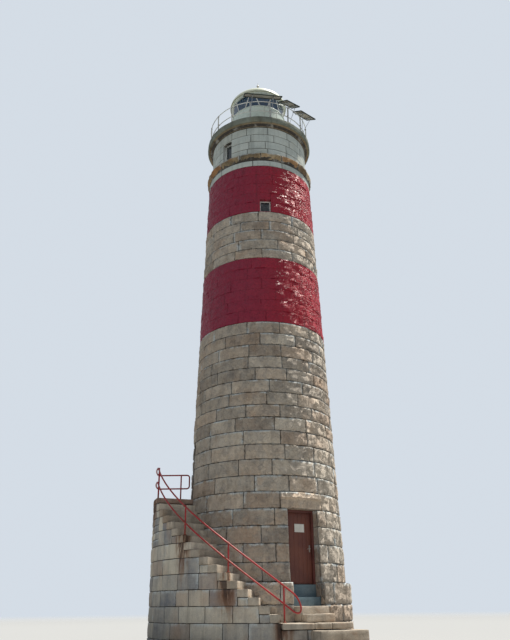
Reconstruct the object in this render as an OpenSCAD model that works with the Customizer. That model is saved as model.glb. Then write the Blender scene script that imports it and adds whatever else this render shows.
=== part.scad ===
// Stone lighthouse with a winding outer stair, a railed gallery and a domed lantern.
// The origin is on the tower's axis at ground level. +Z is up and the entrance faces -Y.
// A bearing is an angle in plan from -Y towards +X. Lengths are in millimetres.

/* [Tower] */
// Radius of the stone shaft where it rises from the plinth
tower_foot_r = 2620; // [2400:10:3200]
// Radius of the stone shaft at the top of the upper red band
tower_top_r = 2100; // [1750:10:2560]
// How far the plinth stands out from the foot of the shaft
plinth_out = 180; // [100:10:300]
// Height of the plinth
plinth_h = 1740; // [1400:10:2400]
// Thickness of the wall at the foot of the shaft
foot_wall_t = 1370; // [1140:10:1500]
// Width of the ledge that carries each floor
ledge = 60; // [40:5:100]
// Thickness of the first floor
floor_t = 200; // [120:10:320]
// Height of the plain stone below the lower red band
lower_shaft_h = 5800; // [4500:50:7500]
// Height of the lower red band
lower_band_h = 2570; // [1800:10:3200]
// Height of the plain stone between the red bands
middle_shaft_h = 2030; // [1500:10:2600]
// Height of the upper red band
upper_band_h = 2150; // [1600:10:2600]
// Height of the white course over the upper red band
white_course_h = 270; // [200:10:400]
// Number of stones that a storey's wall is divided into around the tower
wall_segments = 12; // [10:1:16]
// Width of the upright joints between the wall stones
joint_gap = 2; // [1:0.5:4]
// Height of the bed joints between pieces that stand on each other
bed_gap = 0.2; // [0.1:0.05:0.5]

/* [Watch room and gallery] */
// Height of the string course, which is also the depth of the watch room floor
string_h = 330; // [260:10:420]
// How far the string course stands out from the shaft
string_out = 100; // [60:5:140]
// How far the watch room wall stands in from the top of the shaft
watch_set_in = 130; // [80:10:250]
// Thickness of the watch room wall
watch_wall_t = 500; // [350:10:600]
// Height of the watch room wall
watch_h = 1400; // [1200:10:1900]
// Height of the moulding under the gallery
cornice_h = 140; // [100:5:220]
// How far the gallery deck stands out from the watch room wall
deck_out = 240; // [180:10:500]
// Thickness of the gallery deck
deck_t = 250; // [160:10:320]
// How far the gallery posts stand in from the edge of the deck
post_set_in = 130; // [80:10:200]
// Number of gallery posts
gallery_posts_n = 16; // [12:1:18]
// Height of the gallery's top rail over the deck
gallery_rail_h = 850; // [750:10:1100]
// Height of the gallery's middle rail over the deck
gallery_mid_h = 400; // [300:10:600]
// Diameter of the gallery posts
gallery_post_d = 48; // [36:1:60]
// Diameter of the gallery rails
gallery_rail_d = 34; // [24:1:42]

/* [Lantern] */
// Outer radius of the lantern's low wall
lantern_r = 1170; // [960:10:1420]
// Thickness of the lantern's low wall
lantern_wall_t = 45; // [30:1:80]
// Height of the lantern's low wall
lantern_wall_h = 1410; // [1200:10:1600]
// Height of the glazing between the sill ring and the head ring
glazing_h = 690; // [560:10:900]
// Height of the sill ring and of the head ring
lantern_ring_h = 60; // [40:5:90]
// How far the ends of the glazing bars lie in from the face of the low wall
bar_set_in = 55; // [40:5:75]
// Diameter of the glazing bars
bar_d = 50; // [36:1:60]
// Thickness of the glass
glass_t = 12; // [8:1:20]
// How far the eave of the dome stands out from the face of the low wall
dome_out = 75; // [40:5:150]
// Rise of the dome over its eave
dome_rise = 600; // [450:10:900]
// Thickness of the dome shell
dome_t = 12; // [8:1:20]
// Height of the lightning rod over the dome
rod_h = 1000; // [600:10:1400]
// Number of wide panes around the lantern
pane_pairs = 7; // [6:1:8]

/* [Entrance] */
// Clear width of the entrance through the wall
door_w = 1060; // [900:10:1280]
// Height of the threshold over the ground
threshold_z = 1690; // [1500:10:2050]
// Height of the doorway from its threshold to its head
door_h = 2150; // [1950:10:2600]
// How far the door leaf stands back from the face of the shaft
door_setback = 450; // [300:10:600]
// Face width of the wooden door frame
frame_face = 60; // [50:5:90]
// Depth of the wooden door frame
frame_depth = 110; // [90:5:150]
// Thickness of the door leaf
leaf_t = 45; // [40:1:60]
// How far the frame's stop stands past its face
frame_stop = 12; // [8:1:16]
// Running gap around the door leaf
leaf_gap = 7; // [7:0.5:9]
// Height of the lintel over the doorway, up to the first floor
lintel_h = 510; // [400:10:800]
// How far the lintel bears on the wall at each side
lintel_bearing = 225; // [150:5:300]
// Height of the step inside the doorway
reveal_step_z = 1340; // [1250:10:1400]
// Going of the two steps inside the doorway
reveal_going = 250; // [200:10:300]

/* [Steps] */
// Height of the top entrance step
top_step_z = 1100; // [1000:10:1200]
// Height of the second entrance step
second_step_z = 900; // [820:10:980]
// Going of the entrance steps
entrance_going = 300; // [250:10:340]
// Height of the foot slab, from which both the door steps and the stair rise
foot_slab_z = 680; // [600:10:760]
// Thickness of the foot slab
foot_slab_t = 170; // [120:5:220]
// How far the foot slab stands out from the stair's outer face
foot_slab_out = 190; // [100:10:300]
// How far the foot slab stands past its base
foot_slab_nosing = 50; // [30:5:80]
// Height of the slab before the foot slab
low_slab_z = 500; // [420:10:500]
// Width of the slab before the foot slab
low_slab_w = 1560; // [1300:10:1700]
// Height of the lowest step
low_step_z = 240; // [180:10:300]
// Width of the lowest step
low_step_w = 1360; // [1200:10:1700]
// Going of the two lowest steps
low_going = 360; // [300:10:420]
// How far the middle of the two lowest steps stands to the right of the doorway's
low_steps_x = 80; // [0:10:150]

/* [Stair] */
// Width of the winding stair beside the plinth
stair_w = 960; // [800:10:1160]
// Number of risers from the foot slab to the landing
risers_n = 17; // [14:1:20]
// Angle of each tread in plan, in degrees
tread_angle = 4.56; // [3.8:0.02:5.5]
// Bearing of the first riser, in degrees
first_riser_a = -22.1; // [-26:0.1:-20]
// Angle of the landing in plan, in degrees
landing_angle = 25.5; // [23:0.5:30]
// Thickness of the landing slab
landing_t = 170; // [120:5:220]
// Width of the fixed upper doorway off the landing
upper_door_w = 860; // [760:10:900]
// Height of the fixed upper doorway
upper_door_h = 1980; // [1850:10:2050]
// Diameter of the stair rails and posts
pipe_d = 48; // [38:1:60]
// Height of the stair's top rail over the line of the treads
hand_rail_h = 1000; // [850:10:1100]
// Height of the stair's middle rail over the line of the treads
mid_rail_h = 540; // [400:10:600]
// How far the rails stand in from the stair's outer edge
rail_inset = 60; // [40:5:120]

/* [Windows and panels] */
// Width of the window in the upper red band
band_window_w = 420; // [320:10:520]
// Height of the window in the upper red band
band_window_h = 540; // [440:10:700]
// Bearing of the window in the upper red band, in degrees
band_window_a = -22.5; // [-30:0.5:-15]
// Width of the watch room window
watch_window_w = 450; // [360:10:560]
// Height of the watch room window
watch_window_h = 900; // [700:10:1000]
// Height of the watch room window's sill over the string course
watch_sill_rise = 100; // [60:5:140]
// Bearing of the watch room window, in degrees
watch_window_a = -69.5; // [-75:0.5:-60]
// Face width of the window frames
window_frame = 45; // [35:5:60]
// How far the windows stand back from the wall face
window_setback = 160; // [100:10:220]
// Length of the long solar panel on the left
long_panel_l = 1580; // [1400:10:1800]
// Length of the middle solar panel
short_panel_l = 700; // [600:10:800]
// Length of the lowest solar panel, on the right
end_panel_l = 850; // [700:10:1000]
// Width of a solar panel
panel_w = 600; // [500:10:660]
// Thickness of a solar panel's frame
panel_t = 40; // [30:1:50]
// Width of the rim of a solar panel's frame
panel_rim = 25; // [18:1:35]
// Outward slope of the solar panels, in degrees
panel_slope = 30; // [20:1:32]
// Height of the left solar panel's middle over the deck
panel_h = 1260; // [1230:10:1400]
// How far the middle of a solar panel stands in from the gallery rail
panel_in = 120; // [60:10:150]

/* [Hidden] */

// Facets of the large round walls, and of pipes and other small round pieces
wall_fn = 256;
pipe_fn = 24;
// Clearance between round faces that meet, and between pieces that seat
fit = 0.5;
// Length that takes a cutter past the face it cuts
over = 20;

// Heights of the storeys
door_head_z = threshold_z + door_h;
base_h = door_head_z + lintel_h;
lower_shaft_top = base_h + lower_shaft_h;
lower_band_top = lower_shaft_top + lower_band_h;
middle_shaft_top = lower_band_top + middle_shaft_h;
upper_band_top = middle_shaft_top + upper_band_h;
white_course_top = upper_band_top + white_course_h;
string_top = white_course_top + string_h;
watch_top = string_top + watch_h;
cornice_top = watch_top + cornice_h;
watch_sill_z = string_top + watch_sill_rise;
deck_z = cornice_top + deck_t;
lantern_wall_top = deck_z + lantern_wall_h;
glazing_z = lantern_wall_top + lantern_ring_h;
glazing_top = glazing_z + glazing_h;
eave_z = glazing_top + lantern_ring_h;
dome_top = eave_z + dome_rise;

// Radii of the walls, and of the rooms, one ledge wider above each floor
plinth_r = tower_foot_r + plinth_out;
watch_r = tower_top_r - watch_set_in;
string_r = tower_top_r + string_out;
room_r = tower_foot_r - foot_wall_t;
shaft_room_r = room_r + ledge;
string_room_r = shaft_room_r + ledge;
watch_room_r = watch_r - watch_wall_t;

// Radii of the gallery, the lantern and the stair
deck_r = watch_r + deck_out;
gallery_post_ring_r = deck_r - post_set_in;
bar_ring_r = lantern_r - bar_set_in;
dome_r = lantern_r + dome_out;
stair_r = plinth_r + stair_w;
foot_slab_r = stair_r + foot_slab_out;

// Door leaf, set in its frame against the stop
leaf_y = -(tower_foot_r - door_setback);
leaf_w = door_w - 2 * frame_face - 2 * leaf_gap;
leaf_h = door_h - frame_face - 2 * leaf_gap;
hinge_r = 7.5;
hinge_x = -leaf_w / 2;
hinge_y = leaf_y + leaf_t + hinge_r + fit;
hinge_l = 120;
hinge_shares = [0.12, 0.5, 0.88];
hinge_heights = [for (share = hinge_shares) threshold_z + leaf_gap + leaf_h * share - hinge_l / 2];
// How far the threshold comes out past the leaf
threshold_out = 80;
sill_front_y = leaf_y - threshold_out;
step_front_y = sill_front_y - reveal_going;

// Stair
riser_h = (base_h - foot_slab_z) / risers_n;
landing_a = first_riser_a - (risers_n - 1) * tread_angle;
landing_end_a = landing_a - landing_angle;
upper_door_a = landing_a - landing_angle * 0.52;
rail_r = stair_r - rail_inset;
stair_inner_r = plinth_r + fit;

// Radius of the shaft's face at a height
function shaft_r(z) = tower_foot_r
    + (tower_top_r - tower_foot_r) * (z - plinth_h) / (upper_band_top - plinth_h);

// Angle in degrees that a joint takes up at a radius
function joint_angle(r, gap = joint_gap) = gap / r * 180 / PI;

// Point at a bearing, radius and height
function at(r, bearing, z) = [r * sin(bearing), -r * cos(bearing), z];

// Bearing of the first gallery post, and of each post after it
first_post_a = -37.5;
function gallery_post_a(i) = first_post_a + i * 360 / gallery_posts_n;

// Bearings that the solar panels face, and how far each one's middle is lower than the left one's
panel_facing = [-20, 8, 12];
panel_drop = [0, 20, 200];
panel_gap = 20;
// Distance of each panel's middle from the tower's axis, and half its width in plan
panel_r = gallery_post_ring_r - panel_in;
panel_middle_r = [panel_r - 30, panel_r, panel_r + 40];
panel_half_w = panel_w / 2 * cos(panel_slope);
// Ends along their length: each panel starts where the inner corner of the one before it ends
first_panel_end = 700;
function next_start(end, r, turn) = end * cos(turn) - (r - panel_half_w) * sin(turn) + panel_gap;
second_panel_start = next_start(first_panel_end, panel_middle_r[0], panel_facing[1] - panel_facing[0]);
second_panel_end = second_panel_start + short_panel_l;
third_panel_start = next_start(second_panel_end, panel_r, panel_facing[2] - panel_facing[1]);
// Legs' feet stand outside the rails, each panel's two at one post or at two
leg_foot_d = 56;
leg_foot_t = 12;
leg_foot_r = gallery_post_ring_r + gallery_post_d + leg_foot_d / 2 + 2;
leg_spread_a = joint_angle(leg_foot_r, leg_foot_d + 10) / 2;
// Each panel: facing bearing, middle along its length, distance, height, length, bearings of its feet
panels = [
    [panel_facing[0], first_panel_end - long_panel_l / 2, panel_middle_r[0], panel_h - panel_drop[0],
        long_panel_l, [gallery_post_a(0), gallery_post_a(1)]],
    [panel_facing[1], second_panel_start + short_panel_l / 2, panel_middle_r[1], panel_h - panel_drop[1],
        short_panel_l, [gallery_post_a(2) - leg_spread_a, gallery_post_a(2) + leg_spread_a]],
    [panel_facing[2], third_panel_start + end_panel_l / 2, panel_middle_r[2], panel_h - panel_drop[2],
        end_panel_l, [gallery_post_a(3) - leg_spread_a, gallery_post_a(3) + leg_spread_a]]
];

// Turns a piece that is drawn facing -Y to a bearing
module facing(bearing) {
    rotate([0, 0, bearing])
        children();
}

// Solid that a profile of [radius, height] points sweeps between two bearings
module sector(profile, from, to) {
    rotate([0, 0, from - 90])
        rotate_extrude(angle = to - from, $fn = wall_fn)
            polygon(profile);
}

// Full ring or disc swept by a profile
module ring(profile) {
    rotate_extrude($fn = wall_fn)
        polygon(profile);
}

// Wall of separate stones, each a sector of the profile, with a joint between two
module wall_stones(profile, from, to, count) {
    span = (to - from) / count;
    half = joint_angle(profile[0][0]) / 2;
    for (i = [0 : count - 1])
        sector(profile, from + i * span + half, from + (i + 1) * span - half);
}

// Box across the width of an opening, from the tower's middle out through the wall
module wall_slot(w, z0, z1) {
    translate([-w / 2, -(plinth_r + over), z0])
        cube([w, plinth_r + over, z1 - z0]);
}

// Profile of a plain storey wall between two heights, less the bed joint on it
function wall_profile(inner, z0, z1) = [
    [inner, z0], [shaft_r(z0), z0], [shaft_r(z1), z1 - bed_gap], [inner, z1 - bed_gap]
];

// Ground storey's profile: plinth with a weathered top, shaft, and ledge for the floor
plinth_bevel = 45;
base_profile = [
    [room_r, 0],
    [plinth_r, 0],
    [plinth_r, plinth_h - plinth_bevel],
    [plinth_r - plinth_bevel, plinth_h],
    [shaft_r(plinth_h), plinth_h],
    [shaft_r(base_h), base_h - bed_gap],
    [shaft_room_r, base_h - bed_gap],
    [shaft_room_r, base_h - floor_t],
    [room_r, base_h - floor_t]
];
// The end stones of the ground storey start inside the doorway's slot, by a small angle
slot_lap_a = 1;
slot_a = asin(door_w / 2 / plinth_r) - slot_lap_a;
// Half the angle of the ring that a stone over or under an opening is cut from
filler_a = 40;

module base_wall() {
    color("tan")
        difference() {
            wall_stones(base_profile, slot_a, 360 - slot_a, wall_segments - 1);
            wall_slot(door_w, -over, base_h + over);
            wall_slot(door_w + 2 * lintel_bearing, door_head_z, base_h + over);
        }
}

// Part of the ground storey's ring that fills an opening of a width
module slot_stone(w, z0, z1) {
    intersection() {
        sector(base_profile, -filler_a, filler_a);
        wall_slot(w, z0, z1);
    }
}

module entrance_lintel() {
    color("tan")
        slot_stone(door_w + 2 * lintel_bearing - 2 * joint_gap, door_head_z, base_h);
}

// Masonry under the threshold, and lower down under the steps of the reveal
module entrance_sill() {
    w = door_w - 2 * joint_gap;
    color("slategray")
        difference() {
            slot_stone(w, 0, threshold_z - bed_gap);
            translate([-w, -plinth_r - over, foot_slab_z])
                cube([2 * w, plinth_r + over + sill_front_y, threshold_z]);
        }
}

module doorway_steps() {
    w = door_w - 2 * joint_gap;
    color("slategray")
        translate([-w / 2, step_front_y, foot_slab_z])
            cube([w, reveal_going - fit, reveal_step_z - foot_slab_z]);
}

module ground_floor() {
    color("gray")
        cylinder(r = room_r - fit, h = threshold_z, $fn = wall_fn);
}

module first_floor() {
    color("gray")
        translate([0, 0, base_h - floor_t + bed_gap])
            cylinder(r = shaft_room_r - fit, h = floor_t - 2 * bed_gap, $fn = wall_fn);
}

module watch_room_floor() {
    color("gray")
        translate([0, 0, white_course_top])
            cylinder(r = string_room_r - fit, h = string_h - bed_gap, $fn = wall_fn);
}

// Two jambs and a head, with a stop that the leaf closes against
module door_frame() {
    back_y = leaf_y + leaf_t;
    head_z = door_head_z - frame_face;
    // Section of a member: outer face at 0, stop to the front, rebate for the leaf behind it
    section = [
        [0, back_y],
        [0, back_y - frame_depth],
        [frame_face + frame_stop, back_y - frame_depth],
        [frame_face + frame_stop, leaf_y - leaf_gap],
        [frame_face, leaf_y - leaf_gap],
        [frame_face, back_y]
    ];
    color("maroon") {
        for (side = [0, 1])
            mirror([side, 0, 0])
                translate([-door_w / 2 + fit, 0, threshold_z])
                    linear_extrude(head_z - threshold_z)
                        polygon(section);
        translate([-door_w / 2 + fit, 0, door_head_z - fit])
            rotate([0, 90, 0])
                linear_extrude(door_w - 2 * fit)
                    polygon(section);
    }
}

module entrance_door() {
    color("brown")
        translate([-leaf_w / 2, leaf_y, threshold_z + leaf_gap])
            cube([leaf_w, leaf_t, leaf_h]);
}

// Door handle: place on the leaf, back plate, spindle and lever
handle_inset = 70;
handle_h = 1020;
handle_plate = [44, 4, 200];
spindle_l = 44;
lever_t = 18;
lever_l = 124;

module door_handle() {
    grip_x = leaf_w / 2 - handle_inset;
    grip_z = threshold_z + handle_h;
    plate_y = leaf_y - handle_plate[1];
    color("silver") {
        translate([grip_x - handle_plate[0] / 2, plate_y, grip_z - handle_plate[2] / 2])
            cube(handle_plate);
        translate([grip_x, plate_y, grip_z])
            rotate([90, 0, 0])
                cylinder(d = lever_t, h = spindle_l, $fn = pipe_fn);
        translate([grip_x + lever_t / 2 - lever_l, plate_y - spindle_l - lever_t, grip_z - lever_t / 2])
            cube([lever_l, lever_t, lever_t]);
    }
}

// Knuckles on the door's axis, each with a flap that lies on the back of the leaf
hinge_flap = [70, 4, hinge_l];

module door_hinges() {
    color("dimgray")
        for (z = hinge_heights)
            translate([hinge_x, hinge_y, z]) {
                cylinder(r = hinge_r, h = hinge_l, $fn = pipe_fn);
                translate([0, -hinge_r, 0])
                    cube(hinge_flap);
            }
}

// Fixed straps on the back of the frame, which the knuckles turn against
module hinge_straps() {
    strap_w = frame_face - hinge_r;
    strap_t = hinge_r + 2;
    color("dimgray")
        for (z = hinge_heights)
            translate([hinge_x - hinge_r - fit - strap_w, leaf_y + leaf_t, z])
                cube([strap_w, strap_t, hinge_l]);
}

// How much narrower the two stone steps are than the doorway, and the top one's share of a going
entrance_step_less = 90;
top_step_share = 0.8;

// Two stone steps before the doorway, standing on the foot slab
module entrance_steps() {
    w = door_w - 2 * joint_gap - entrance_step_less;
    top_front_y = -plinth_r - entrance_going * top_step_share;
    left_x = -door_w / 2 + joint_gap;
    color("tan") {
        translate([left_x, top_front_y, foot_slab_z])
            cube([w, step_front_y - fit - top_front_y, top_step_z - foot_slab_z]);
        translate([left_x, top_front_y - entrance_going, foot_slab_z])
            cube([w, entrance_going - fit, second_step_z - foot_slab_z]);
    }
}

// Bearing at which the foot slab ends on the far side of the door, and how much sooner its base ends
foot_slab_end_a = 9.5;
foot_base_less_a = 1;

module foot_slab() {
    bottom = foot_slab_z - foot_slab_t;
    top = foot_slab_z - bed_gap;
    profile = [[plinth_r + fit, bottom], [foot_slab_r, bottom], [foot_slab_r, top], [plinth_r + fit, top]];
    color("tan")
        sector(profile, first_riser_a + joint_angle(plinth_r), foot_slab_end_a);
}

module foot_slab_base() {
    top = foot_slab_z - foot_slab_t - bed_gap;
    r = foot_slab_r - foot_slab_nosing;
    profile = [[plinth_r + fit, 0], [r, 0], [r, top], [plinth_r + fit, top]];
    color("tan")
        sector(profile, first_riser_a + joint_angle(plinth_r), foot_slab_end_a - foot_base_less_a);
}

// Slab and lowest step before the foot slab, each as deep as the one above is set back
module low_steps() {
    color("tan") {
        difference() {
            translate([low_steps_x - low_slab_w / 2, -foot_slab_r - low_going, 0])
                cube([low_slab_w, 2 * low_going, low_slab_z]);
            translate([0, 0, -over])
                cylinder(r = foot_slab_r - foot_slab_nosing + fit, h = low_slab_z + 2 * over, $fn = wall_fn);
        }
        translate([low_steps_x - low_step_w / 2, -foot_slab_r - 2 * low_going - fit, 0])
            cube([low_step_w, low_going, low_step_z]);
    }
}

// Angle inside an upper opening's slot at which the end stones beside it start
opening_lap_a = 3;

module shaft_lower() {
    color("tan")
        difference() {
            wall_stones(wall_profile(shaft_room_r, base_h, lower_shaft_top),
                upper_door_a + opening_lap_a, upper_door_a + 360 - opening_lap_a, wall_segments - 1);
            facing(upper_door_a)
                wall_slot(upper_door_w, base_h - over, lower_shaft_top + over);
        }
    color("tan")
        facing(upper_door_a)
            intersection() {
                sector(wall_profile(shaft_room_r, base_h + upper_door_h, lower_shaft_top),
                    -filler_a, filler_a);
                wall_slot(upper_door_w - 2 * joint_gap, base_h, lower_shaft_top + over);
            }
}

module lower_red_band() {
    color("crimson")
        wall_stones(wall_profile(shaft_room_r, lower_shaft_top, lower_band_top), 0, 360, wall_segments);
}

module shaft_middle() {
    color("tan")
        wall_stones(wall_profile(shaft_room_r, lower_band_top, middle_shaft_top), 0, 360, wall_segments);
}

// Storey wall with one window: the wall stones stop at its sides, and a stone closes it above
module windowed_wall(profile, z0, z1, bearing, w, sill_z, h) {
    difference() {
        wall_stones(profile, bearing + opening_lap_a, bearing + 360 - opening_lap_a, wall_segments - 1);
        facing(bearing)
            wall_slot(w, z0 - over, z1 + over);
    }
    facing(bearing)
        difference() {
            intersection() {
                sector(profile, -filler_a, filler_a);
                wall_slot(w - 2 * joint_gap, z0, z1);
            }
            wall_slot(w + over, sill_z, sill_z + h);
        }
}

module upper_red_band() {
    color("crimson")
        windowed_wall(wall_profile(shaft_room_r, middle_shaft_top, upper_band_top),
            middle_shaft_top, upper_band_top,
            band_window_a, band_window_w, middle_shaft_top, band_window_h);
}

module white_course() {
    color("whitesmoke")
        wall_stones(wall_profile(shaft_room_r, upper_band_top, white_course_top), 0, 360, wall_segments);
}

// String course's profile: a splay, a small fillet over it, and a weathered top edge
string_splay = 0.45;
string_fillet = [25, 0.1];
string_bevel = 30;

// Moulded string course that steps the shaft in to the watch room
module string_course() {
    profile = [
        [string_room_r, white_course_top],
        [shaft_r(white_course_top), white_course_top],
        [string_r - string_fillet[0], white_course_top + string_h * string_splay],
        [string_r, white_course_top + string_h * (string_splay + string_fillet[1])],
        [string_r, string_top - string_bevel],
        [string_r - string_bevel, string_top - bed_gap],
        [string_room_r, string_top - bed_gap]
    ];
    color("sandybrown")
        wall_stones(profile, 0, 360, wall_segments);
}

module watch_room_wall() {
    profile = [[watch_room_r, string_top], [watch_r, string_top], [watch_r, watch_top - bed_gap],
        [watch_room_r, watch_top - bed_gap]];
    color("lightgray")
        windowed_wall(profile, string_top, watch_top,
            watch_window_a, watch_window_w, watch_sill_z, watch_window_h);
}

// How far the moulding under the gallery stays back from the deck's edge, its fillets, and its steps
cornice_back = 60;
cornice_fillet = 20;
cornice_steps = 8;

// Moulding under the gallery: a hollow between two fillets
module gallery_cornice() {
    edge = deck_r - cornice_back;
    foot = watch_r + cornice_fillet;
    hollow = [for (i = [0 : cornice_steps])
        [edge - (edge - foot) * cos(90 * i / cornice_steps),
            watch_top + cornice_fillet + (cornice_h - 2 * cornice_fillet) * sin(90 * i / cornice_steps)]];
    profile = concat([[watch_room_r, watch_top], [foot, watch_top]], hollow,
        [[edge, cornice_top - bed_gap], [watch_room_r, cornice_top - bed_gap]]);
    color("peru")
        wall_stones(profile, 0, 360, wall_segments);
}

// Bevels of the deck's edge, below and above
deck_bevel = [30, 20];

module gallery_deck() {
    profile = [
        [0, cornice_top],
        [deck_r - deck_bevel[0], cornice_top],
        [deck_r, cornice_top + deck_bevel[0]],
        [deck_r, deck_z - deck_bevel[1]],
        [deck_r - deck_bevel[1], deck_z - bed_gap],
        [0, deck_z - bed_gap]
    ];
    color("darkgray")
        ring(profile);
}

// Thickness of the flange at a gallery post's foot
post_flange_t = 15;

module gallery_posts() {
    shank_h = gallery_rail_h - post_flange_t - gallery_rail_d / 2 - fit;
    color("white")
        for (i = [0 : gallery_posts_n - 1])
            facing(gallery_post_a(i))
                translate([0, -gallery_post_ring_r, deck_z]) {
                    cylinder(d = gallery_post_d * 2, h = post_flange_t, $fn = pipe_fn);
                    translate([0, 0, post_flange_t])
                        cylinder(d = gallery_post_d, h = shank_h, $fn = pipe_fn);
                }
}

// One rail of separate lengths, each from post to post
module gallery_rail_ring(r, h) {
    bay = 360 / gallery_posts_n;
    for (i = [0 : gallery_posts_n - 1])
        translate([0, 0, deck_z + h])
            rotate([0, 0, gallery_post_a(i) - 90])
                rotate_extrude(angle = bay - joint_angle(r, fit), $fn = wall_fn)
                    translate([r, 0])
                        circle(d = gallery_rail_d, $fn = pipe_fn);
}

module gallery_rails() {
    inner = gallery_post_ring_r - gallery_post_d / 2 - gallery_rail_d / 2 - fit;
    color("white") {
        gallery_rail_ring(gallery_post_ring_r, gallery_rail_h);
        gallery_rail_ring(inner, gallery_mid_h);
    }
}

// Frame and leaf of the fixed upper doorway, drawn facing -Y: face of the leaf, how far the frame
// stands out past it, and the gap over and under the leaf
upper_door_y = -(shaft_r(base_h) - door_setback);
upper_frame_out = 50;
upper_leaf_gap = 10;

module upper_door_frame() {
    clear_w = upper_door_w - 2 * frame_face;
    color("maroon")
        facing(upper_door_a)
            difference() {
                translate([-upper_door_w / 2 + fit, upper_door_y - upper_frame_out, base_h])
                    cube([upper_door_w - 2 * fit, frame_depth, upper_door_h - fit]);
                translate([-clear_w / 2, upper_door_y - upper_frame_out - over, base_h - over])
                    cube([clear_w, frame_depth + 2 * over, upper_door_h - frame_face + over]);
            }
}

module upper_door() {
    leaf = [upper_door_w - 2 * frame_face - 2 * fit, leaf_t, upper_door_h - frame_face - 2 * upper_leaf_gap];
    color("brown")
        facing(upper_door_a)
            translate([-leaf[0] / 2, upper_door_y, base_h + upper_leaf_gap])
                cube(leaf);
}

// Depth of the window frames, and place and thickness of the panes in them
window_frame_d = 60;
pane_back = 25;
window_pane_t = 10;

// One window's frame, drawn facing -Y
module window_frame_at(r, w, sill_z, h) {
    y = -(r - window_setback);
    difference() {
        translate([-w / 2 + fit, y, sill_z + fit])
            cube([w - 2 * fit, window_frame_d, h - 2 * fit]);
        translate([-w / 2 + window_frame, y - over, sill_z + window_frame])
            cube([w - 2 * window_frame, window_frame_d + 2 * over, h - 2 * window_frame]);
    }
}

module window_frames() {
    color("white") {
        facing(band_window_a)
            window_frame_at(shaft_r(middle_shaft_top), band_window_w, middle_shaft_top, band_window_h);
        facing(watch_window_a)
            window_frame_at(watch_r, watch_window_w, watch_sill_z, watch_window_h);
    }
}

module window_pane_at(r, w, sill_z, h) {
    side = window_frame + fit;
    translate([-w / 2 + side, -(r - window_setback) + pane_back, sill_z + side])
        cube([w - 2 * side, window_pane_t, h - 2 * side]);
}

module window_panes() {
    color("darkslategray") {
        facing(band_window_a)
            window_pane_at(shaft_r(middle_shaft_top), band_window_w, middle_shaft_top, band_window_h);
        facing(watch_window_a)
            window_pane_at(watch_r, watch_window_w, watch_sill_z, watch_window_h);
    }
}

// Low drum under the glazing, with a doorway at the back, and how far its door lies inside the faces
lantern_door_a = 151.5;
lantern_door_w = 620;
lantern_door_h = 1280;
lantern_door_in = 5;
lantern_door_gap = 2;

module lantern_wall() {
    profile = [[lantern_r - lantern_wall_t, deck_z], [lantern_r, deck_z],
        [lantern_r, lantern_wall_top - bed_gap],
        [lantern_r - lantern_wall_t, lantern_wall_top - bed_gap]];
    color("white")
        difference() {
            wall_stones(profile, 0, 360, wall_segments);
            facing(lantern_door_a)
                wall_slot(lantern_door_w, deck_z - over, deck_z + lantern_door_h);
        }
}

module lantern_door() {
    inner = lantern_r - lantern_wall_t + lantern_door_in;
    outer = lantern_r - lantern_door_in;
    z0 = deck_z + lantern_door_gap;
    z1 = deck_z + lantern_door_h - lantern_door_gap;
    color("white")
        facing(lantern_door_a)
            intersection() {
                sector([[inner, z0], [outer, z0], [outer, z1], [inner, z1]], -filler_a, filler_a);
                wall_slot(lantern_door_w - lantern_door_gap, deck_z, deck_z + lantern_door_h);
            }
}

// How far the rings stand past the low wall, inwards and outwards
ring_lip_in = 45;
ring_lip_out = 15;

module lantern_ring(z) {
    inner = lantern_r - lantern_wall_t - ring_lip_in;
    outer = lantern_r + ring_lip_out;
    top = z + lantern_ring_h - bed_gap;
    profile = [[inner, z], [outer, z], [outer, top], [inner, top]];
    wall_stones(profile, 0, 360, wall_segments);
}

module lantern_sill() {
    color("white")
        lantern_ring(lantern_wall_top);
}

module lantern_head() {
    color("white")
        lantern_ring(glazing_top);
}

// Half angles of a wide pane at its foot and at its head. A narrow pane is the other way up.
pane_foot_a = 17;
pane_head_a = 6;
pane_pitch = 360 / pane_pairs;
first_pane_a = -41.5;

// Sides of a glazing bar
bar_sides = 12;

// Bar with level ends, from a point on the sill ring to a point on the head ring
module glazing_bar(from_a, to_a) {
    n = bar_sides;
    ends = [at(bar_ring_r, from_a, glazing_z + fit), at(bar_ring_r, to_a, glazing_top - fit)];
    points = [for (end = ends)
        for (k = [0 : n - 1])
            end + bar_d / 2 * [cos(360 * k / n), sin(360 * k / n), 0]];
    walls = [for (k = [0 : n - 1]) [k, n + k, n + (k + 1) % n, (k + 1) % n]];
    foot = [[for (k = [0 : n - 1]) k]];
    head = [[for (k = [n - 1 : -1 : 0]) n + k]];
    polyhedron(points, concat(walls, foot, head), convexity = 2);
}

module glazing_bars() {
    color("white")
        for (k = [0 : pane_pairs - 1])
            for (side = [-1, 1])
                glazing_bar(first_pane_a + k * pane_pitch + side * pane_foot_a,
                    first_pane_a + k * pane_pitch + side * pane_head_a);
}

// Gap between a pane's edges and the bars beside it
pane_gap = 3;

// Flat pane between two bars: a trapezium stood on its foot chord and leant to its head chord
module pane(foot_a, head_a) {
    gap = bar_d / 2 + pane_gap;
    foot_y = bar_ring_r * cos(foot_a);
    head_y = bar_ring_r * cos(head_a);
    foot_x = bar_ring_r * sin(foot_a) - gap;
    head_x = bar_ring_r * sin(head_a) - gap;
    lean = atan2(head_y - foot_y, glazing_h);
    h = norm([head_y - foot_y, glazing_h]) - 3 * pane_gap;
    translate([0, -foot_y, glazing_z + fit + glass_t / 2 * abs(sin(lean))])
        rotate([90 + lean, 0, 0])
            translate([0, 0, -glass_t / 2])
                linear_extrude(glass_t)
                    polygon([[-foot_x, 0], [foot_x, 0], [head_x, h], [-head_x, h]]);
}

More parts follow.
